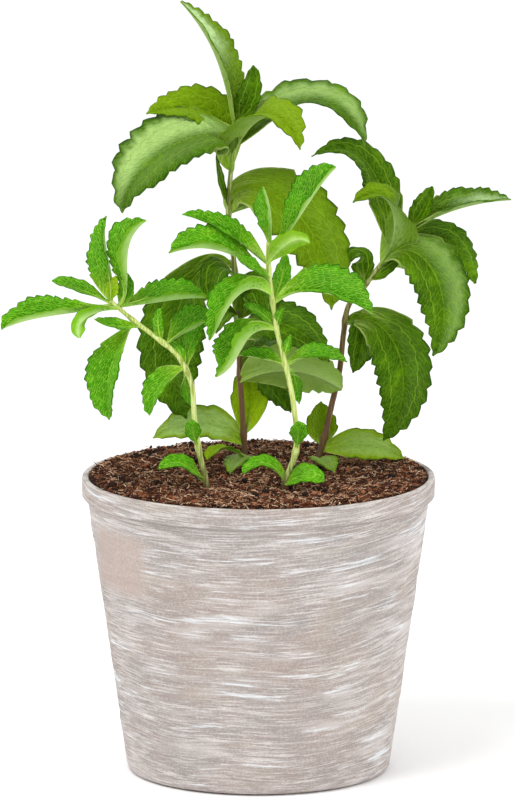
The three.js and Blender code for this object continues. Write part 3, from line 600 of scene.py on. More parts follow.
def new_piece(name, points, faces):
    mesh = bpy.data.meshes.new(name)
    mesh.from_pydata(points.tolist(), [], faces)
    mesh.update()
    return set_out(name, mesh)


def dress(piece, material, slot, *nodes):
    """Gives a piece its material and its body, and hides the solids that it stands for."""
    piece.data.materials.clear()
    piece.data.materials.append(material)
    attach(piece, "root")
    if nodes:
        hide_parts(*nodes)


# ---- pot -----------------------------------------------------------------------------------------

POT_FLOOR = 4.0
WALL_FOOT = 3.6
WALL_FOOT_RADIUS = 56.4
WALL_RISE = 114.3
WALL_FLARE = 16.5
BAND_FOOT = 118.0
BAND_SOFTENS = 0.35               # share of the relief that the band keeps
POT_HEIGHT = 127.0
INNER_TOP = 126.2
INNER_TOP_RADIUS = 72.3
INNER_FLOOR_RADIUS = 54.0
DRAIN_HOLES = 6
DRAIN_RADIUS = 4.0
DRAIN_CIRCLE = 31.0
SKIN_DEPTH = 0.9                  # how far inside the wall's cone its outer skin may lie
ROUGH_FROM = 2.0
ROUGH_TO = 126.0
ROUGH_SETS_IN = 8.0               # height over which the relief reaches its full depth
BARE_PATCH = (-0.0585, 0.0965)    # x and z of the place that the brush missed, in metres
BAND_SHADOW_HEIGHT = 0.1179              # of the painted shade line under the band, in metres


def wall_radius(z):
    """Radius of the pot's outer wall at a height."""
    return WALL_FOOT_RADIUS + WALL_FLARE * (z - WALL_FOOT) / WALL_RISE


def pot_profile():
    """Radius and height along the pot's skin, from under its centre, up the outside and down inside."""
    foot = [(0, 0), (13, 0), (14.5, 1.5), (43.5, 1.5), (45, 0), (53.2, 0), (55.0, 0.5), (56.0, 1.8)]
    wall = [(wall_radius(z), z) for z in np.linspace(WALL_FOOT, WALL_FOOT + WALL_RISE, 105)]
    band = [(73.6, 118.1), (74.6, 118.4), (75.0, 119.0), (75.05, 121), (75.1, 123), (75.1, 125),
            (75.1, 126.2), (74.9, 126.7), (74.4, POT_HEIGHT), (73.1, POT_HEIGHT), (72.5, 126.7)]
    inside = zip(np.linspace(INNER_TOP_RADIUS, INNER_FLOOR_RADIUS, 14),
                 np.linspace(INNER_TOP, POT_FLOOR, 14))
    return [*foot, *wall, *band, *inside, (0, POT_FLOOR)]


def rough_up_pot(mesh, relief):
    """Lets the outside of the wall wander as a hand-brushed coat does."""
    points = places(mesh)
    moved = points.copy()
    for i, (x, y, z) in enumerate(points):
        reach = math.hypot(x, y)
        height = z / MM
        skin = max(WALL_FOOT_RADIUS - 0.1, wall_radius(height) - SKIN_DEPTH) * MM
        if reach < skin or height < ROUGH_FROM or height > ROUGH_TO:
            continue
        east, north = x / reach, y / reach
        broad = noise.noise((east * 1.4, north * 1.4, z * 120))
        fine = noise.noise((east * 3.1 + 7, north * 3.1, z * 380))
        soften = min(height / ROUGH_SETS_IN, 1) * (BAND_SOFTENS if height > BAND_FOOT else 1)
        push = relief * soften * (0.9 * broad + 0.55 * fine)
        moved[i, 0] += east * push
        moved[i, 1] += north * push
    move_points(mesh, moved)


def pot_finish(look):
    """Taupe ground under a dry-brushed pale coat whose strokes run round the pot."""
    coat = Finish("brushed_taupe", 0.78, 0.2)
    x, y, z = coat.split(coat.place())
    reach = (x * x + y * y).math("SQRT") + 1e-4
    east = x / reach
    north = y / reach
    drift = coat.noise(coat.vector(east * 1.3, north * 1.3, z * 18), detail=1) - 0.5
    climb = east.math("MAXIMUM", 0.0)
    level = z + drift * 0.006 - climb * climb * 0.0055

    def strokes(breadth, height, seed, detail, roughness=0.6):
        return coat.noise(coat.vector(east * breadth + seed, north * breadth, level * height),
                          detail=detail, roughness=roughness)

    hairs = strokes(4.5, 1700, 0, 3, 0.7)
    marks = strokes(3.0, 800, 5, 3, 0.7)
    broad = strokes(2.2, 460, 11, 2)
    highlight_strokes = strokes(1.5, 220, 41, 2)
    # Patches of wash grow towards the left and right flanks; that rise is painted light wrapping round the
    # pot.
    patches = strokes(1.3, 30, 17, 2) + east * east * 0.2 - 0.05
    veils = strokes(1.5, 120, 61, 2)
    grooves = strokes(5.5, 1700, 23, 3, 0.75)
    grain = coat.noise(coat.place(), scale=1100, detail=3, roughness=0.7)

    patch_x, patch_z = BARE_PATCH
    plain = abs(x - patch_x).rise(0.0125, 0.007) * abs(z - patch_z).rise(0.017, 0.01) * y.rise(0.0, -0.01)
    brushed = 1 - 0.88 * plain
    fine = (hairs + (marks - 0.5) * 0.3 + (patches - 0.5) * 0.3).rise(0.45, 0.64) * 0.7
    swipe = (broad + (hairs - 0.5) * 0.8 + (patches - 0.5) * 0.2).rise(0.58, 0.7) * 0.85
    wash = fine.math("MAXIMUM", swipe) * brushed * (1.1 - grain.rise(0.6, 0.35) * 0.4)
    # Painted highlight: sparse cool white glints over the brushwork.
    painted_highlight = (highlight_strokes + (marks - 0.5) * 0.5 + (hairs - 0.5) * 0.5).rise(0.6, 0.76) * brushed
    lines = (grooves + (marks - 0.5) * 0.3).rise(0.52, 0.66) * (0.52 - 0.2 * climb)
    veil = (veils + (marks - 0.5) * 0.3).rise(0.48, 0.7) * (0.4 + 0.25 * climb) * brushed
    # Painted shade: a thin broken dark line just under the band's ledge.
    band_shadow = abs(z - BAND_SHADOW_HEIGHT).rise(0.0008, 0.0003) * hairs.rise(0.4, 0.56) * 0.55

    coat.feed("Base Color", coat.layers(look.clay, [
        (strokes(1.6, 55, 31, 2).rise(0.4, 0.62), look.shade),
        (strokes(1.9, 90, 53, 3).rise(0.52, 0.72) * 0.35, tint(186, 174, 156)),
        (plain, tint(176, 159, 150)),
        (grain.rise(0.45, 0.7) * 0.4, look.wash),
        (lines * brushed, look.groove),
        (veil, look.wash),
        (wash, look.wash),
        (painted_highlight * 0.7, tint(232, 237, 241)),
        (band_shadow, look.groove),
    ]))
    coat.feed("Roughness", 0.82 - 0.1 * wash)
    coat.bump((hairs * 0.6 + marks * 0.6 + wash * 0.4) * brushed + grain * 0.3, 0.0005, 0.5)
    return coat.material


class STEVIA_OT_pot(bpy.types.Operator):
    """Turns the pot and brushes its coat on"""

    bl_idname = "stevia.pot"
    bl_label = "Pot"

    def execute(self, context):
        look = context.scene.stevia_pot
        pot = turned_body("pot_turned", pot_profile(), look.steps)
        deselect()
        drills = []
        for turn in range(DRAIN_HOLES):
            angle = (turn + 0.5) * math.tau / DRAIN_HOLES
            x, y = DRAIN_CIRCLE * math.cos(angle), DRAIN_CIRCLE * math.sin(angle)
            bpy.ops.mesh.primitive_cylinder_add(
                vertices=24, radius=DRAIN_RADIUS * MM, depth=3 * POT_FLOOR * MM,
                location=(x * MM, y * MM, POT_FLOOR / 2 * MM))
            drills.append(context.active_object)
        drill = join(drills, "drill")
        pick(pot)
        cut = pot.modifiers.new("drain", "BOOLEAN")
        cut.operation = "DIFFERENCE"
        cut.object = drill
        bpy.ops.object.modifier_apply(modifier=cut.name)
        bpy.data.objects.remove(drill)
        rough_up_pot(pot.data, look.relief)
        pick(pot)
        bpy.ops.object.shade_smooth_by_angle(angle=CREASE)
        dress(pot, pot_finish(look), "pot", "pot")
        return {"FINISHED"}


# ---- soil ----------------------------------------------------------------------------------------

SOIL_LEVEL = 127.9
SOIL_EDGE = 126.0                 # height at the wall, in front
SOIL_EDGE_RISE = 1.5              # how much higher it is at the back
SOIL_EDGE_TURN = (-45, 5)         # places from front to back between which it rises
SOIL_SHOULDER = 6.0               # width of the slope down to the wall
SOIL_LUMP = 0.45
CLODS = ((0.22, 3, 0.9), (0.55, 9, 0.75), (1.4, 21, 0.4))  # fineness, seed and height of each size
SOIL_STEPS = 260
CLEARANCE = 0.3                   # gap between the soil and the pot
BARE_EDGE = 2.0                   # width along the wall that is kept clear of loose bits


def inner_radius(z):
    """Radius of the pot's inner wall at a height."""
    share = (z - POT_FLOOR) / (POT_HEIGHT - POT_FLOOR)
    return INNER_FLOOR_RADIUS + (INNER_TOP_RADIUS - INNER_FLOOR_RADIUS) * share


def soil_height(x, y):
    """Height of the soil at a place: it slopes down to the wall, which it covers at the back."""
    lumps = (np.sin(x * 0.31 + 1.3) * np.cos(y * 0.27 - 0.4)
             + 0.6 * np.sin(x * 0.53 - y * 0.47 + 2.1) + 0.4 * np.cos(x * 0.83 + y * 0.71))
    heap = SOIL_LEVEL + SOIL_LUMP * lumps
    edge = SOIL_EDGE + SOIL_EDGE_RISE * smoothstep(*SOIL_EDGE_TURN, y)
    slope = smoothstep(INNER_TOP_RADIUS - SOIL_SHOULDER, INNER_TOP_RADIUS, np.hypot(x, y))
    return heap + (edge - heap) * slope


def clods(x, y):
    """Fine lumps on top of the soil, in millimetres."""
    return sum(noise.noise((x * fine, y * fine, seed)) * height for fine, seed, height in CLODS)


def soil_finish(look):
    """Dark peat mottled with reddish coir."""
    earth = Finish("coir_soil", 0.95, 0.15)
    spot = earth.place()
    crumbs = earth.noise(spot, scale=420, detail=4, roughness=0.7)
    flecks = earth.noise(spot, scale=1400, detail=2, roughness=0.6)
    earth.feed("Base Color", earth.layers(look.peat, [
        (crumbs.rise(0.44, 0.68), look.coir),
        (flecks.rise(0.6, 0.75) * 0.45, look.straw),
    ]))
    earth.bump(crumbs + flecks * 0.5, 0.0015, 0.9)
    return earth.material


def bits_finish(name, look):
    """Fibres, threads or crumbs, each of its own tone from peat over coir to straw."""
    bits = Finish(name, 0.85, 0.25)
    tone = bits.attribute("tone", output="Fac")
    worn = tone + (bits.noise(bits.place(), scale=900, detail=2) - 0.5) * 0.3
    colour = bits.add("ShaderNodeValToRGB", {"stops": [
        (0.0, look.peat), (0.3, tint(68, 36, 22)), (0.55, look.coir), (0.78, tint(168, 112, 78)),
        (1.0, look.straw)]}, [worn])
    bits.feed("Base Color", colour)
    return bits.material


def bare_spots(rng, count):
    """Places spread over the soil, clear of the pot's wall, as x and y."""
    reach = (inner_radius(SOIL_EDGE) - BARE_EDGE) * np.sqrt(rng.random(count))
    turn = rng.random(count) * math.tau
    return reach * np.cos(turn), reach * np.sin(turn)


def lie_down(rng, count, lean):
    """Random turns that lay a template's x axis about level."""
    heading = rng.random(count) * math.tau
    tilt = rng.normal(0, lean, count)
    along = np.stack([np.cos(heading) * np.cos(tilt), np.sin(heading) * np.cos(tilt), np.sin(tilt)], -1)
    roll = unit(rng.normal(size=(count, 3)))
    across = unit(np.cross(roll, along))
    return np.stack([along, across, np.cross(along, across)], -1)


def thread_template():
    """A short straight three-sided strand, one unit long."""
    deselect()
    bpy.ops.mesh.primitive_cylinder_add(vertices=3, radius=0.046, depth=1, rotation=(0, math.pi / 2, 0))
    bpy.ops.object.transform_apply(rotation=True)
    return bpy.context.active_object


def fibre_template():
    """A strand with a kink."""
    strand = thread_template()
    bpy.ops.object.mode_set(mode="EDIT")
    for cut in (-0.17, 0.17):
        bpy.ops.mesh.select_all(action="SELECT")
        bpy.ops.mesh.bisect(plane_co=(cut, 0, 0), plane_no=(1, 0, 0))
    bpy.ops.object.mode_set(mode="OBJECT")
    points = places(strand.data)
    points[:, 2] += 0.12 * np.cos(points[:, 0] * math.pi)
    points[:, 1] += 0.1 * np.sin(points[:, 0] * 5)
    move_points(strand.data, points)
    return strand


def crumb_template():
    """A small angular lump, one unit across."""
    deselect()
    bpy.ops.mesh.primitive_ico_sphere_add(subdivisions=1, radius=0.5)
    lump = bpy.context.active_object
    points = places(lump.data)
    points *= 1 + 0.22 * np.sin(points[:, :1] * 23 + points[:, 1:2] * 31)
    move_points(lump.data, points)
    return lump


def fibre_sizes(rng, count, size):
    lengths = size * rng.lognormal(-0.15, 0.4, count).clip(0.4, 2.0)
    girth = size * rng.lognormal(-0.2, 0.3, count)
    return np.stack([lengths, girth, lengths * 0.5 + girth * 0.5], -1)


def thread_sizes(rng, count, size):
    lengths = size * rng.uniform(0.5, 1.5, count)
    girth = size * rng.uniform(0.55, 0.95, count)
    return np.stack([lengths, girth, girth], -1)


def crumb_sizes(rng, count, size):
    breadth = size * rng.lognormal(-0.1, 0.45, count).clip(0.35, 2.4)
    return breadth[:, None] * rng.uniform(0.55, 1.25, (count, 3))


class Bits(NamedTuple):
    """Loose bits of one kind: how one is modelled, and how their sizes, tones and places vary.

    `tone` shapes the spread of tones from peat to straw, `lift` is the mean and spread of their height
    over the soil, `reach` the least and greatest height and `lean` how far they tilt.
    """

    name: str
    finish: str
    template: Callable
    sizes: Callable
    tone: tuple
    lift: tuple
    reach: tuple
    lean: float


FIBRES = Bits("soil_fibres", "coir_fibres", fibre_template, fibre_sizes,
              tone=(0.75, 0.6), lift=(0.25, 0.3), reach=(-0.6, 0.7), lean=0.2)
THREADS = Bits("soil_threads", "coir_threads", thread_template, thread_sizes,
               tone=(1.6, 0.8), lift=(0.3, 0.2), reach=(-0.3, 0.7), lean=0.2)
CRUMBS = Bits("soil_crumbs", "peat_crumbs", crumb_template, crumb_sizes,
              tone=(1.5, 4.0), lift=(0.1, 0.35), reach=(-math.inf, math.inf), lean=0.8)


def strew(bits, count, size, look, rng):
    """Lays many bits of one kind over the soil as one piece."""
    x, y = bare_spots(rng, count)
    sizes = bits.sizes(rng, count, size)
    tones = rng.beta(*bits.tone, count)
    lift = rng.normal(*bits.lift, count).clip(*bits.reach)
    turns = lie_down(rng, count, bits.lean)
    heights = soil_height(x, y) + [clods(a, b) for a, b in zip(x, y)] + lift
    template = bits.template()
    points, faces = scatter(template.data, np.stack([x, y, heights], -1) * MM, turns, sizes)
    tones = np.repeat(tones, len(template.data.vertices))
    bpy.data.objects.remove(template)
    piece = new_piece(bits.name, points, faces)
    mark_points(piece.data, "tone", "FLOAT", tones)
    dress(piece, bits_finish(bits.finish, look), "soil")


class STEVIA_OT_soil(bpy.types.Operator):
    """Fills the pot with soil and strews fibres, threads and crumbs on it"""

    bl_idname = "stevia.soil"
    bl_label = "Soil"

    def execute(self, context):
        look = context.scene.stevia_soil
        foot = POT_FLOOR + CLEARANCE
        rim = inner_radius(SOIL_EDGE) - CLEARANCE
        wall = [(0, foot), (inner_radius(foot) - CLEARANCE, foot), (rim, SOIL_EDGE - 3), (rim, SOIL_EDGE)]
        top = [(rim * share, SOIL_EDGE) for share in np.linspace(1, 0, 100)[1:]]
        soil = turned_body("soil_heap", wall + top, SOIL_STEPS)
        points = places(soil.data) / MM
        on_top = points[:, 2] > SOIL_EDGE - 1
        x, y = points[on_top, 0], points[on_top, 1]
        lumps = [clods(a, b) for a, b in zip(x, y)]
        points[on_top, 2] = soil_height(x, y) + lumps * smoothstep(0, 2, rim - np.hypot(x, y))
        move_points(soil.data, points * MM)
        dress(soil, soil_finish(look), "soil", "soil")

        rng = np.random.default_rng(11)
        strew(FIBRES, look.fibres, look.fibre_length, look, rng)
        strew(THREADS, look.threads, look.fibre_length, look, rng)
        strew(CRUMBS, look.crumbs, look.crumb_size, look, rng)
        return {"FINISHED"}


# ---- leafy stems ---------------------------------------------------------------------------------

FIRST_TOOTH = 0.27                # share of the length where the first tooth starts
LAST_TOOTH = 0.975
TOOTH_PEAK = 0.74                 # where in its step a tooth has its tip
TOOTH_STEPS = (0.15, 0.3, 0.45, 0.6, TOOTH_PEAK, 0.87, 1.0)
FINER_TEETH = 1.5                 # teeth that are cut for each one that the lists count
TOOTH_DEPTH = 0.06                # share of half the blade's width
TOOTH_LIMIT = 0.25                # share of the breadth where the tooth stands
LEAST_REACH = 0.35                # half the breadth at the very tip
STALK_FOOT = 1.2                  # breadth of the stalk where it leaves the stem
STALK_FLARE = 20                  # how fast it gains its full breadth along the leaf
OPENING = (0.2, 0.5)              # shares of the length between which the stalk becomes a blade
ARCH = 0.22                       # how strongly each half arches on its way to the edge
WAVE = 0.05                       # rise and fall of the edge, as a share of half the width
WAVES = 17                        # turn of that wave along the whole leaf, in radians
RIPPLE = 0.03                     # the same for the finer ripple near the edge
RIPPLES = 31
BULGE = 0.16                      # height of the bulges between the veins
BULGE_STEP = 4.2                  # distance from one bulge to the next
BLADE_CREASE = math.radians(50)   # edges that are sharper than this stay sharp
BURIED = 32.0                     # how far a stalk reaches into the soil
RING_STEP = 1.3                   # distance between a stalk's rings
NODE_SWELL = 0.34                 # share of its radius that a stalk gains at a pair of leaves
NODE_LENGTH = 2.2                 # distance over which a swelling fades
PLAIN_FOOT = (4, 14)              # heights above the soil between which the swelling sets in
HAIRS_PER_MM = 9


def measured(points):
    """Distances along a row of points."""
    steps = np.linalg.norm(np.diff(points, axis=0), axis=1)
    return np.concatenate([[0], np.cumsum(steps)])


def sample(points, shares):
    """Places and directions at shares of a row's length."""
    distance = measured(points)
    wanted = np.asarray(shares) * distance[-1]
    spots = np.stack([np.interp(wanted, distance, points[:, i]) for i in range(3)], -1)
    slopes = unit(np.gradient(points, distance, axis=0))
    along = np.stack([np.interp(wanted, distance, slopes[:, i]) for i in range(3)], -1)
    return spots, unit(along)


def smooth_path(points):
    """A close row of points on the smooth curve through the given ones."""
    knots = np.array(points, dtype=float)
    knots = np.vstack([2 * knots[0] - knots[1], knots, 2 * knots[-1] - knots[-2]])
    row = []
    for p0, p1, p2, p3 in zip(knots, knots[1:], knots[2:], knots[3:]):
        d0, d1, d2 = [math.sqrt(np.linalg.norm(b - a)) for a, b in ((p0, p1), (p1, p2), (p2, p3))]
        leave = ((p1 - p0) / d0 - (p2 - p0) / (d0 + d1) + (p2 - p1) / d1) * d1
        arrive = ((p2 - p1) / d1 - (p3 - p1) / (d1 + d2) + (p3 - p2) / d2) * d1
        t = np.linspace(0, 1, 24, endpoint=False)[:, None]
        row.append((2 * t**3 - 3 * t**2 + 1) * p1 + (t**3 - 2 * t**2 + t) * leave
                   + (3 * t**2 - 2 * t**3) * p2 + (t**3 - t**2) * arrive)
    return np.vstack([*row, knots[-2]])


def midrib(base, via, tip):
    """A close row of points on the curve that passes one or two points on its way to the tip."""
    base, tip = np.array(base, dtype=float), np.array(tip, dtype=float)
    via = [np.array(point, dtype=float) for point in via]
    t = np.linspace(0, 1, 200)[:, None]
    if len(via) == 1:
        middle = 2 * via[0] - (base + tip) / 2
        return (1 - t) ** 2 * base + 2 * t * (1 - t) * middle + t**2 * tip
    first = -5 / 6 * base + 3 * via[0] - 1.5 * via[1] + tip / 3
    second = -5 / 6 * tip + 3 * via[1] - 1.5 * via[0] + base / 3
    return (1 - t) ** 3 * base + 3 * t * (1 - t) ** 2 * first + 3 * t**2 * (1 - t) * second + t**3 * tip


def outline(share, belly, taper):
    """Half the breadth of a blade as a share of its greatest, from a slim stalk to its tip."""
    eased = share ** (math.log(0.5) / math.log(belly))
    sharpness = np.where(share < belly, 2 * belly, taper)
    return np.maximum(np.sin(math.pi * eased), 0) ** sharpness


def leaf_rows(leaf, length, cell):
    """Shares of the length where the blade's rows lie, with the tooth that each belongs to."""
    smooth_rows = max(6, round(FIRST_TOOTH * length / cell))
    rows = [(FIRST_TOOTH * i / smooth_rows, 0, 0.0) for i in range(smooth_rows + 1)]
    teeth = round(leaf.teeth * FINER_TEETH)
    step = (LAST_TOOTH - FIRST_TOOTH) / teeth
    for tooth in range(teeth):
        for part in TOOTH_STEPS:
            if part < TOOTH_PEAK:
                start = 0.0 if tooth == 0 else -1.0
                cut = start + (1 - start) * (part / TOOTH_PEAK) ** 0.8
            else:
                cut = 1 - 2 * (part - TOOTH_PEAK) / (1 - TOOTH_PEAK)
            rows.append((FIRST_TOOTH + (tooth + part) * step, tooth, cut))
    rows.append((0.99, teeth - 1, -0.3))
    rows.append((1.0, teeth - 1, 0.0))
    share, tooth, cut = np.array(rows).T
    return share, tooth.astype(int), cut


def edge_reaches(stem, leaf, share, tooth, cut, rng):
    """How far the two edges stand from the midrib at each row, teeth included."""
    half = leaf.width / 2
    flare = np.minimum(leaf.neck, STALK_FOOT + STALK_FLARE * share)
    stalk = 0.5 * flare * (1 - smoothstep(*OPENING, share))
    opened = np.maximum(share - leaf.stalk, 0) / (1 - leaf.stalk)
    breadths = half * outline(opened, leaf.belly or stem.belly, leaf.taper)
    reach = np.maximum.reduce([breadths, stalk, np.full_like(share, LEAST_REACH)])
    bite = np.minimum(TOOTH_DEPTH * half, reach * TOOTH_LIMIT)
    depth = rng.uniform(0.65, 1.3, (2, tooth.max() + 1))
    return np.stack([reach + cut * bite * side[tooth] for side in depth])


def rib_frame(curve, share, leaf):
    """Places along the midrib, with the ways that the upper side and the edge look there."""
    centre, along = sample(curve, share)
    up = np.outer(1 - share, leaf.face_base) + np.outer(share, leaf.face_tip or leaf.face_base)
    up = unit(up - (up * along).sum(1, keepdims=True) * along)
    return centre, up, np.cross(up, along)


def blade_lift(leaf, length, t, v, breadth, lateral, phase):
    """How far points stand above the midrib: folded, arched and waved, with bulges between grooves."""
    s = np.abs(t)
    half = leaf.width / 2
    opened = smoothstep(*OPENING, v)
    rise = breadth * (s * math.sin(math.radians(leaf.fold)) + ARCH * (s - s * s) - 0.05 * s**4)
    wave = WAVE * half * np.sin(v * WAVES + leaf.width) * opened
    ripple = RIPPLE * half * np.sin(v * RIPPLES + phase) * s**3 * opened
    bulges = np.abs(np.sin(math.pi * (v * length - 0.9 * s * breadth) / BULGE_STEP))
    quilt = BULGE * bulges * smoothstep(0.1, 0.3, s) * smoothstep(0.15, 0.3, v) * min(1, half / 8)
    rib_groove = 0.4 * np.exp(-(s * breadth / 0.75) ** 2) * (1 - 0.75 * v)
    side_groove = 0.2 * np.exp(-(lateral / 0.6) ** 2)
    side_groove *= smoothstep(0.08, 0.2, v) * (1 - smoothstep(0.7, 0.95, v))
    return rise + np.sign(t) * wave * s * s + ripple + quilt - rib_groove - side_groove


def thicken(blade, thickness, ridge):
    """Gives a blade its thickness, and lowers its underside by the ridge under its midrib."""
    upper = len(blade.data.vertices)
    shell = blade.modifiers.new("thickness", "SOLIDIFY")
    shell.thickness = thickness
    shell.offset = 0
    bpy.ops.object.modifier_apply(modifier=shell.name)
    points = places(blade.data)
    below = np.arange(len(points)) >= upper
    points[below] -= ridge * MM
    move_points(blade.data, points)
    mark_points(blade.data, "under", "FLOAT", below)


def leaf_blade(stem, leaf, base, look, rng):
    """Lays a grid along the leaf's midrib, cuts its teeth and gives it its thickness."""
    curve = midrib(base, leaf.via, leaf.tip)
    length = measured(curve)[-1]
    cell = look.cell / MM
    share, tooth, cut = leaf_rows(leaf, length, cell)
    columns = 2 * max(4, round(leaf.width / 2 / cell))
    deselect()
    bpy.ops.mesh.primitive_grid_add(x_subdivisions=columns, y_subdivisions=len(share) - 1, size=2)
    blade = bpy.context.active_object
    flat = places(blade.data)
    t = -flat[:, 0]
    row = np.rint((flat[:, 1] + 1) / 2 * (len(share) - 1)).astype(int)
    v = share[row]

    hand = (t > 0).astype(int)
    breadth = edge_reaches(stem, leaf, share, tooth, cut, rng)[hand, row]
    across = t * breadth
    lateral = np.abs(across) - 0.5 * smoothstep(0.03, 0.38, v) * breadth
    phase = rng.uniform(0, math.tau, 2)[hand]
    lift = blade_lift(leaf, length, t, v, breadth, lateral, phase)
    centre, up, side = rib_frame(curve, share, leaf)
    spread = across * math.cos(math.radians(leaf.fold))
    points = centre[row] + side[row] * spread[:, None] + up[row] * lift[:, None]
    move_points(blade.data, points * MM)

    seed = np.full_like(t, rng.random())
    mark_points(blade.data, "blade", "FLOAT_VECTOR", np.stack([across, v * length, lateral], -1))
    mark_points(blade.data, "share", "FLOAT_VECTOR", np.stack([t, v, seed], -1))
    # Yellowing, then the strength of the painted sheen over both halves and of the painted sheen on one
    # half; below, the strength of the painted whitish sheen.
    tint_and_sheen = np.tile([leaf.yellow, leaf.soft, leaf.pale], (len(t), 1))
    mark_points(blade.data, "tint", "FLOAT_VECTOR", tint_and_sheen)
    mark_points(blade.data, "frost", "FLOAT", np.full_like(t, leaf.frost))

    ridge = 0.4 * (1 - 0.75 * v) + 0.55 * (1 - smoothstep(0, 0.22, v))
    ridge *= np.exp(-(across / 0.85) ** 2)
    thicken(blade, look.thickness, up[row] * ridge[:, None])
    return blade


class Veining(NamedTuple):
    """How the veins of a blade show on its upper side, how much sheen is painted on it and how shiny it is.
    """

    mesh: float
    net: float
    rib: float
    mains: float
    rungs: float
    spacing: float
    faint_sheen: float
    base: float
    roughness: float


class Greens(NamedTuple):
    """A blade's colours: upper side, veins, and underside at the rib and at the margin."""

    upper: tuple
    vein: tuple
    under: tuple
    flank: tuple


OLD_VEINING = Veining(mesh=1.4, net=0.32, rib=0.5, mains=0.6, rungs=0.24, spacing=5.2, faint_sheen=0.04,
                      base=0.15, roughness=0.46)
YOUNG_VEINING = Veining(mesh=0.95, net=0.72, rib=0.8, mains=0.1, rungs=0.0, spacing=3.6, faint_sheen=0.05,
                        base=0.45, roughness=0.5)
SHEEN_GREEN = tint(172, 206, 120)
YOUNG_FOOT = tint(150, 134, 84)


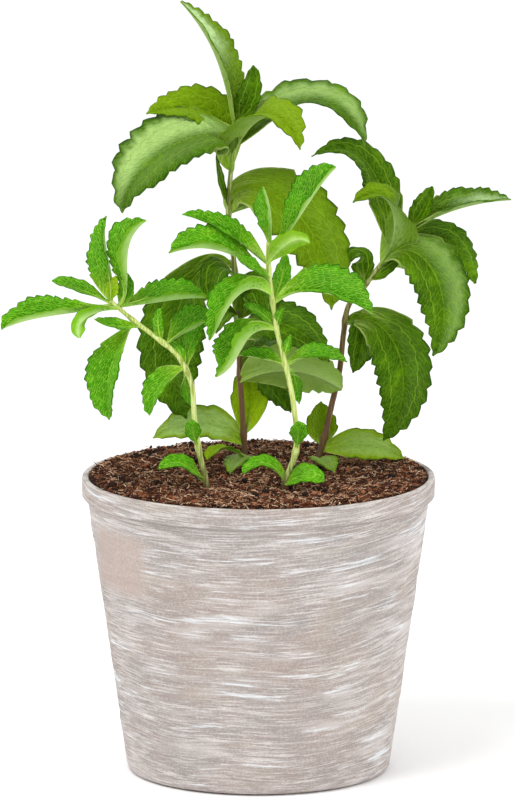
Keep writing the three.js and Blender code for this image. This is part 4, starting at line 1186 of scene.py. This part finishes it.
class LeafFinish(Finish):
    """A leaf: veined upper side, paler underside, darker teeth and uneven green between the veins."""

    def __init__(self, name, greens, veining):
        super().__init__(name, veining.roughness, 0.06)
        self.greens = greens
        self.veining = veining
        self.across, self.along, self.lateral = self.split(self.attribute("blade"))
        self.t, self.v, self.seed = self.split(self.attribute("share"))
        # Yellowing, painted sheen over both halves, and painted sheen on the half that the sign picks.
        self.yellow, self.soft, self.pale = self.split(self.attribute("tint"))
        self.inward = 1 - abs(self.t)
        self.sway = self.cloud(0.25, 0.25, 40, 2) - 0.5
        self.patch = self.cloud(0.08, 0.08, 70, 3, 0.6)
        self.deep = shaded(greens.upper, 0.42)
        self.draw_veins()
        self.colour_both_sides()

    def cloud(self, breadth, length, seed, detail, roughness=0.5):
        """A pattern over the blade that differs from leaf to leaf."""
        spot = self.vector(self.across * breadth, self.along * length, self.seed * seed)
        return self.noise(spot, detail=detail, roughness=roughness)

    def draw_veins(self):
        """Midrib, main vein on either side, rungs between them and a fine net."""
        look, along, v, sway = self.veining, self.along, self.v, self.sway
        side = abs(self.across)
        self.rib = side.rise(0.6, 0.18) * v.rise(1.1, 0.3)
        self.main = abs(self.lateral + sway * 0.7).rise(0.36, 0.1) * v.rise(0.05, 0.16) * v.rise(0.98, 0.7)
        ladder = (along - side * 1.1 + sway * 3) / look.spacing
        self.rung = abs(ladder.math("FRACT") - 0.5).rise(0.42, 0.48) * v.rise(0.1, 0.25)
        slant = (side * 0.93 - along * 0.36) / look.mesh + sway * 1.6
        run = (side * 0.36 + along * 0.93) / look.mesh
        self.cells = self.add("ShaderNodeTexVoronoi",
                              {"feature": "DISTANCE_TO_EDGE", "voronoi_dimensions": "3D"},
                              {"Vector": self.vector(slant, run * 0.42, self.seed * 40), "Scale": 1.0})
        breaks = self.noise(self.vector(slant * 0.7, run * 0.35, self.seed * 90), detail=1).rise(0.38, 0.54)
        threads = abs(slant.math("FRACT") - 0.5).rise(0.38, 0.49) * breaks
        net = threads.math("MAXIMUM", self.cells.rise(0.06, 0.01) * 0.6)
        self.net = net * self.inward.rise(0.02, 0.12)
        self.veins = self.rib * look.rib
        for vein in (self.main * look.mains, self.rung * look.rungs, self.net * look.net):
            self.veins = self.veins.math("MAXIMUM", vein)

    def upper_side(self):
        """Uneven green with a dark margin, veins, and a painted sheen on its lobes."""
        v, patch, pale, inward = self.v, self.patch, self.pale, self.inward
        frost = self.attribute("frost", output="Fac")
        lobe = (inward + self.sway * 0.4).rise(0.06, 0.5) * v.rise(0.06, 0.35) * v.rise(1.05, 0.75)
        # Painted sheen on the lobes: a faint one on one half, one on the half that pale picks and one over
        # both halves; the veins fade under it.
        faint_sheen = self.t.rise(0.0, 0.3) * self.veining.faint_sheen
        lit = (self.t * pale).rise(-0.05, 0.3) * abs(pale) * 0.85 + self.soft * 0.8 + faint_sheen
        return self.layers(self.greens.upper, [
            (patch.rise(0.35, 0.7) * 0.6, shaded(self.greens.upper, 0.5)),
            (patch.rise(0.45, 0.25) * 0.4, tint(122, 170, 4)),
            (self.cells.rise(0.15, 0.4) * self.veining.net * 0.25, self.deep),
            (v.rise(0.5, 0.0) * self.veining.base + self.yellow * 0.85, tint(158, 192, 8)),
            (inward.rise(0.14, 0.0) * v.rise(0.2, 0.4) * 0.65, tint(24, 62, 6)),
            (lobe * lit * (0.6 + 0.4 * patch.rise(0.2, 0.55)), SHEEN_GREEN),
            # Painted whitish sheen along the middle of the blade towards its tip.
            (frost * v.rise(0.35, 0.8) * (inward + self.sway * 0.5).rise(0.25, 0.85), tint(192, 220, 160)),
            (self.veins * (0.9 - 0.6 * lobe * lit), self.greens.vein),
        ])

    def underside(self):
        """Paler beside the midrib than at the margin, with faint veins and a painted sheen."""
        v, patch = self.v, self.patch
        return self.layers(self.greens.flank, [
            ((self.inward + self.sway * 0.5).rise(0.35, 1.1), self.greens.under),
            (patch.rise(0.45, 0.75) * 0.25 + v.rise(0.5, 0.25) * 0.5, self.greens.flank),
            (self.cells.rise(0.12, 0.3) * v.rise(0.5, 0.25) * 0.5, self.deep),
            (self.net * 0.16 + self.rib * 0.3, tint(206, 224, 156)),
            (self.yellow * 0.5, tint(160, 194, 50)),
            # Painted sheen that lightens the underside where it faces down into shade.
            (self.soft * 0.5, SHEEN_GREEN),
        ])

    def colour_both_sides(self):
        """Joins the two sides, and runs pale lines along the stalk and its edges."""
        v, look = self.v, self.veining
        under = self.attribute("under", output="Fac")
        strands = self.cloud(1.7, 0.05, 30, 2).rise(0.5, 0.62)
        hem = self.inward.rise(0.11, 0.03) * v.rise(0.45, 0.2) * 0.6
        self.feed("Base Color", self.layers(self.upper_side(), [
            (under, self.underside()),
            (v.rise(0.2, 0.04) * 0.5, self.greens.vein),
            (hem.math("MAXIMUM", strands * v.rise(0.32, 0.1) * 0.45), tint(196, 214, 122)),
        ]))
        self.feed("Roughness", look.roughness + 0.12 * under - 0.05 * self.veins)
        relief = self.cells.rise(0.0, 0.3) * 0.7 - self.rung * look.rungs - self.main * 0.6
        self.bump(relief * (1 - 0.8 * under) + self.patch * 0.3, 0.0006, 0.7)


def stem_finish(name, foot, crown, turn_low, turn_high):
    """A ribbed stem whose colour changes on its way up."""
    skin = Finish(name, 0.55, 0.35)
    x, y, z = skin.split(skin.place())
    streaks = skin.noise(skin.vector(x * 1400, y * 1400, z * 60), detail=2)
    blotch = skin.noise(skin.place(), scale=180, detail=2)
    ribs = streaks.rise(0.48, 0.62)
    climb = (z + (blotch - 0.5) * 0.03).rise(turn_low, turn_high)
    skin.feed("Base Color", skin.layers(foot, [
        (ribs * 0.4, tint(178, 140, 84)),
        (climb, crown),
        (z.rise(0.15, 0.128) * 0.6, shaded(foot, 0.3)),
        (ribs * climb * 0.6, tint(228, 236, 170)),
        (streaks.rise(0.48, 0.36) * 0.5, tint(104, 98, 30)),
    ]))
    skin.bump(streaks, 0.0003, 0.5)
    return skin.material


def stem_line(stem, path):
    """Places and radii along the stem, buried end included, swollen where leaves spring from it."""
    x, y, z = stem.path[0]
    whole = smooth_path([(x, y, z - BURIED), (x, y, z - BURIED / 2), *stem.path])
    total = measured(whole)[-1]
    length = measured(path)[-1]
    count = round(total / RING_STEP)
    spots, _ = sample(whole, np.linspace(0, 1, count))
    grown = np.clip((np.linspace(0, total, count) - (total - length)) / length, 0, 1)
    radii = stem.girth(grown)
    for node in stem.nodes:
        away = (grown - node) * length / NODE_LENGTH
        radii *= 1 + NODE_SWELL * np.exp(-away * away) * smoothstep(*PLAIN_FOOT, spots[:, 2] - z)
    return spots, radii


def stem_tube(stem, path):
    """Draws the stem as a curve with a round section and makes it a mesh."""
    spots, radii = stem_line(stem, path)
    line = bpy.data.curves.new(stem.name + "_line", "CURVE")
    line.dimensions = "3D"
    line.bevel_depth = MM
    line.bevel_resolution = 5
    line.use_fill_caps = True
    spline = line.splines.new("POLY")
    spline.points.add(len(spots) - 1)
    for point, spot, radius in zip(spline.points, spots, radii):
        point.co = (*(spot * MM), 1)
        point.radius = radius
    pick(set_out(stem.name + "_stalk", line))
    bpy.ops.object.convert(target="MESH")
    bpy.ops.object.mode_set(mode="EDIT")
    close_up()
    bpy.ops.object.shade_smooth()
    return bpy.context.active_object


def stem_hairs(stem, path, look, material, rng):
    """Fine upright hairs all round the stem above the soil."""
    count = round(measured(path)[-1] * HAIRS_PER_MM)
    shares = rng.uniform(0.02, 1, count)
    spots, along = sample(path, shares)
    away = unit(np.cross(along, rng.normal(size=(count, 3))))
    lean = unit(away + along * rng.uniform(0.1, 0.8, (count, 1)))
    across = unit(np.cross(lean, rng.normal(size=(count, 3))))
    turns = np.stack([across, np.cross(lean, across), lean], -1)
    deselect()
    bpy.ops.mesh.primitive_cone_add(vertices=3, radius1=0.06, depth=1, end_fill_type="NOTHING",
                                    location=(0, 0, 0.5))
    bpy.ops.object.transform_apply(location=True)
    spike = bpy.context.active_object
    girths = np.full(count, look.hair)
    sizes = np.stack([girths, girths, look.hair * rng.uniform(0.4, 1.2, count)], -1)
    roots = spots + away * stem.girth(shares)[:, None] * 0.95
    points, faces = scatter(spike.data, roots * MM, turns, sizes)
    bpy.data.objects.remove(spike)
    dress(new_piece(stem.name + "_hairs", points, faces), material, stem.foliage)


def grow(stem, look, blade_material, stem_material, seed):
    """Grows one leafy stem: all its blades as one piece, then its stalk and its hairs."""
    rng = np.random.default_rng(seed)
    path = smooth_path(stem.path)
    bases, _ = sample(path, [leaf.at for leaf in stem.leaves])
    blades = [leaf_blade(stem, leaf, base, look, rng) for leaf, base in zip(stem.leaves, bases)]
    crown = join(blades, stem.name + "_blades")
    bpy.ops.object.shade_smooth_by_angle(angle=BLADE_CREASE)
    dress(crown, blade_material, stem.foliage, stem.name)
    dress(stem_tube(stem, path), stem_material, stem.foliage, stem.name)
    stem_hairs(stem, path, look, stem_material, rng)


class STEVIA_OT_leafy_stems(bpy.types.Operator):
    """Grows the four leafy stems"""

    bl_idname = "stevia.leafy_stems"
    bl_label = "Leafy Stems"

    def execute(self, context):
        look = context.scene.stevia_foliage
        old = Greens(look.old_leaf, look.old_vein, look.old_under, look.old_flank)
        young = Greens(look.young_leaf, look.young_vein, look.young_under, look.young_flank)
        materials = {
            "old_foliage": (LeafFinish("old_leaf", old, OLD_VEINING).material,
                            stem_finish("old_stem", look.bark, look.old_stem, 0.17, 0.235)),
            "young_foliage": (LeafFinish("young_leaf", young, YOUNG_VEINING).material,
                              stem_finish("young_stem", YOUNG_FOOT, look.young_stem, 0.128, 0.142)),
        }
        for seed, stem in enumerate(STEMS):
            grow(stem, look, *materials[stem.foliage], seed)
        return {"FINISHED"}


# ---- stage ---------------------------------------------------------------------------------------

LIT_SPOT = Vector((0, 0, 0.15))
FLOOR_GAP = 0.0004                # how far the floor lies under the pot


def soft_light(name, place, size, power):
    light = bpy.data.lights.new(name, "AREA")
    light.shape = "DISK"
    light.size = size
    light.energy = power
    lamp = set_out(name, light)
    lamp.location = place
    lamp.rotation_euler = (LIT_SPOT - Vector(place)).to_track_quat("-Z", "Y").to_euler()


class STEVIA_OT_stage(bpy.types.Operator):
    """Sets the floor, the light and the camera"""

    bl_idname = "stevia.stage"
    bl_label = "Stage"

    def execute(self, context):
        look = context.scene.stevia_stage
        scene = context.scene
        deselect()
        bpy.ops.mesh.primitive_circle_add(vertices=96, radius=6, fill_type="NGON",
                                          location=(0, 0, -FLOOR_GAP))
        floor = context.active_object
        floor.name = "floor"
        bpy.ops.object.transform_apply(location=True)
        pale = Finish("pale_floor", 0.9)
        pale.shader.inputs["Base Color"].default_value = (*look.floor, 1)
        floor.data.materials.append(pale.material)

        world = bpy.data.worlds.new("studio")
        world.use_nodes = True
        sky = world.node_tree.nodes["Background"]
        sky.inputs["Color"].default_value = (1, 1, 1, 1)
        sky.inputs["Strength"].default_value = look.sky
        scene.world = world
        scene.view_settings.view_transform = "Standard"
        soft_light("key_light", (-0.6, -0.8, 1.8), 0.8, look.key)
        soft_light("fill_light", (1.3, -0.9, 0.8), 1.0, look.key * 0.25)

        camera = bpy.data.cameras.new("camera")
        camera.lens = look.lens
        camera.sensor_width = 36
        camera.clip_end = 50
        eye = set_out("camera", camera)
        back = Vector((0, -math.cos(look.elevation), math.sin(look.elevation)))
        eye.location = Vector((0, 0, look.aim)) + back * look.distance
        eye.rotation_euler = (-back).to_track_quat("-Z", "Y").to_euler()
        scene.camera = eye
        return {"FINISHED"}


# ---- panel ---------------------------------------------------------------------------------------


class STEVIA_PT_panel(bpy.types.Panel):
    """Lists the settings and the steps in order"""

    bl_idname = "STEVIA_PT_panel"
    bl_label = "Potted Stevia"
    bl_space_type = "VIEW_3D"
    bl_region_type = "UI"
    bl_category = "Stevia"

    def draw(self, context):
        for kind, operator in ((PotSettings, "pot"), (SoilSettings, "soil"),
                               (FoliageSettings, "leafy_stems"), (StageSettings, "stage")):
            group = getattr(context.scene, GROUPS[kind])
            box = self.layout.box()
            for name in kind.__annotations__:
                box.prop(group, name)
            box.operator("stevia." + operator)


GROUPS = {
    PotSettings: "stevia_pot",
    SoilSettings: "stevia_soil",
    FoliageSettings: "stevia_foliage",
    StageSettings: "stevia_stage",
}
CLASSES = (*GROUPS, STEVIA_OT_pot, STEVIA_OT_soil, STEVIA_OT_leafy_stems, STEVIA_OT_stage,
           STEVIA_PT_panel)


def register():
    for kind in CLASSES:
        bpy.utils.register_class(kind)
    for kind, name in GROUPS.items():
        setattr(bpy.types.Scene, name, PointerProperty(type=kind))


def unregister():
    for name in GROUPS.values():
        delattr(bpy.types.Scene, name)
    for kind in reversed(CLASSES):
        bpy.utils.unregister_class(kind)


def main():
    register()
    bpy.ops.stevia.stage()
    bpy.ops.stevia.pot()
    bpy.ops.stevia.soil()
    bpy.ops.stevia.leafy_stems()
    deselect()
    bpy.context.view_layer.update()


if __name__ == "__main__":
    main()
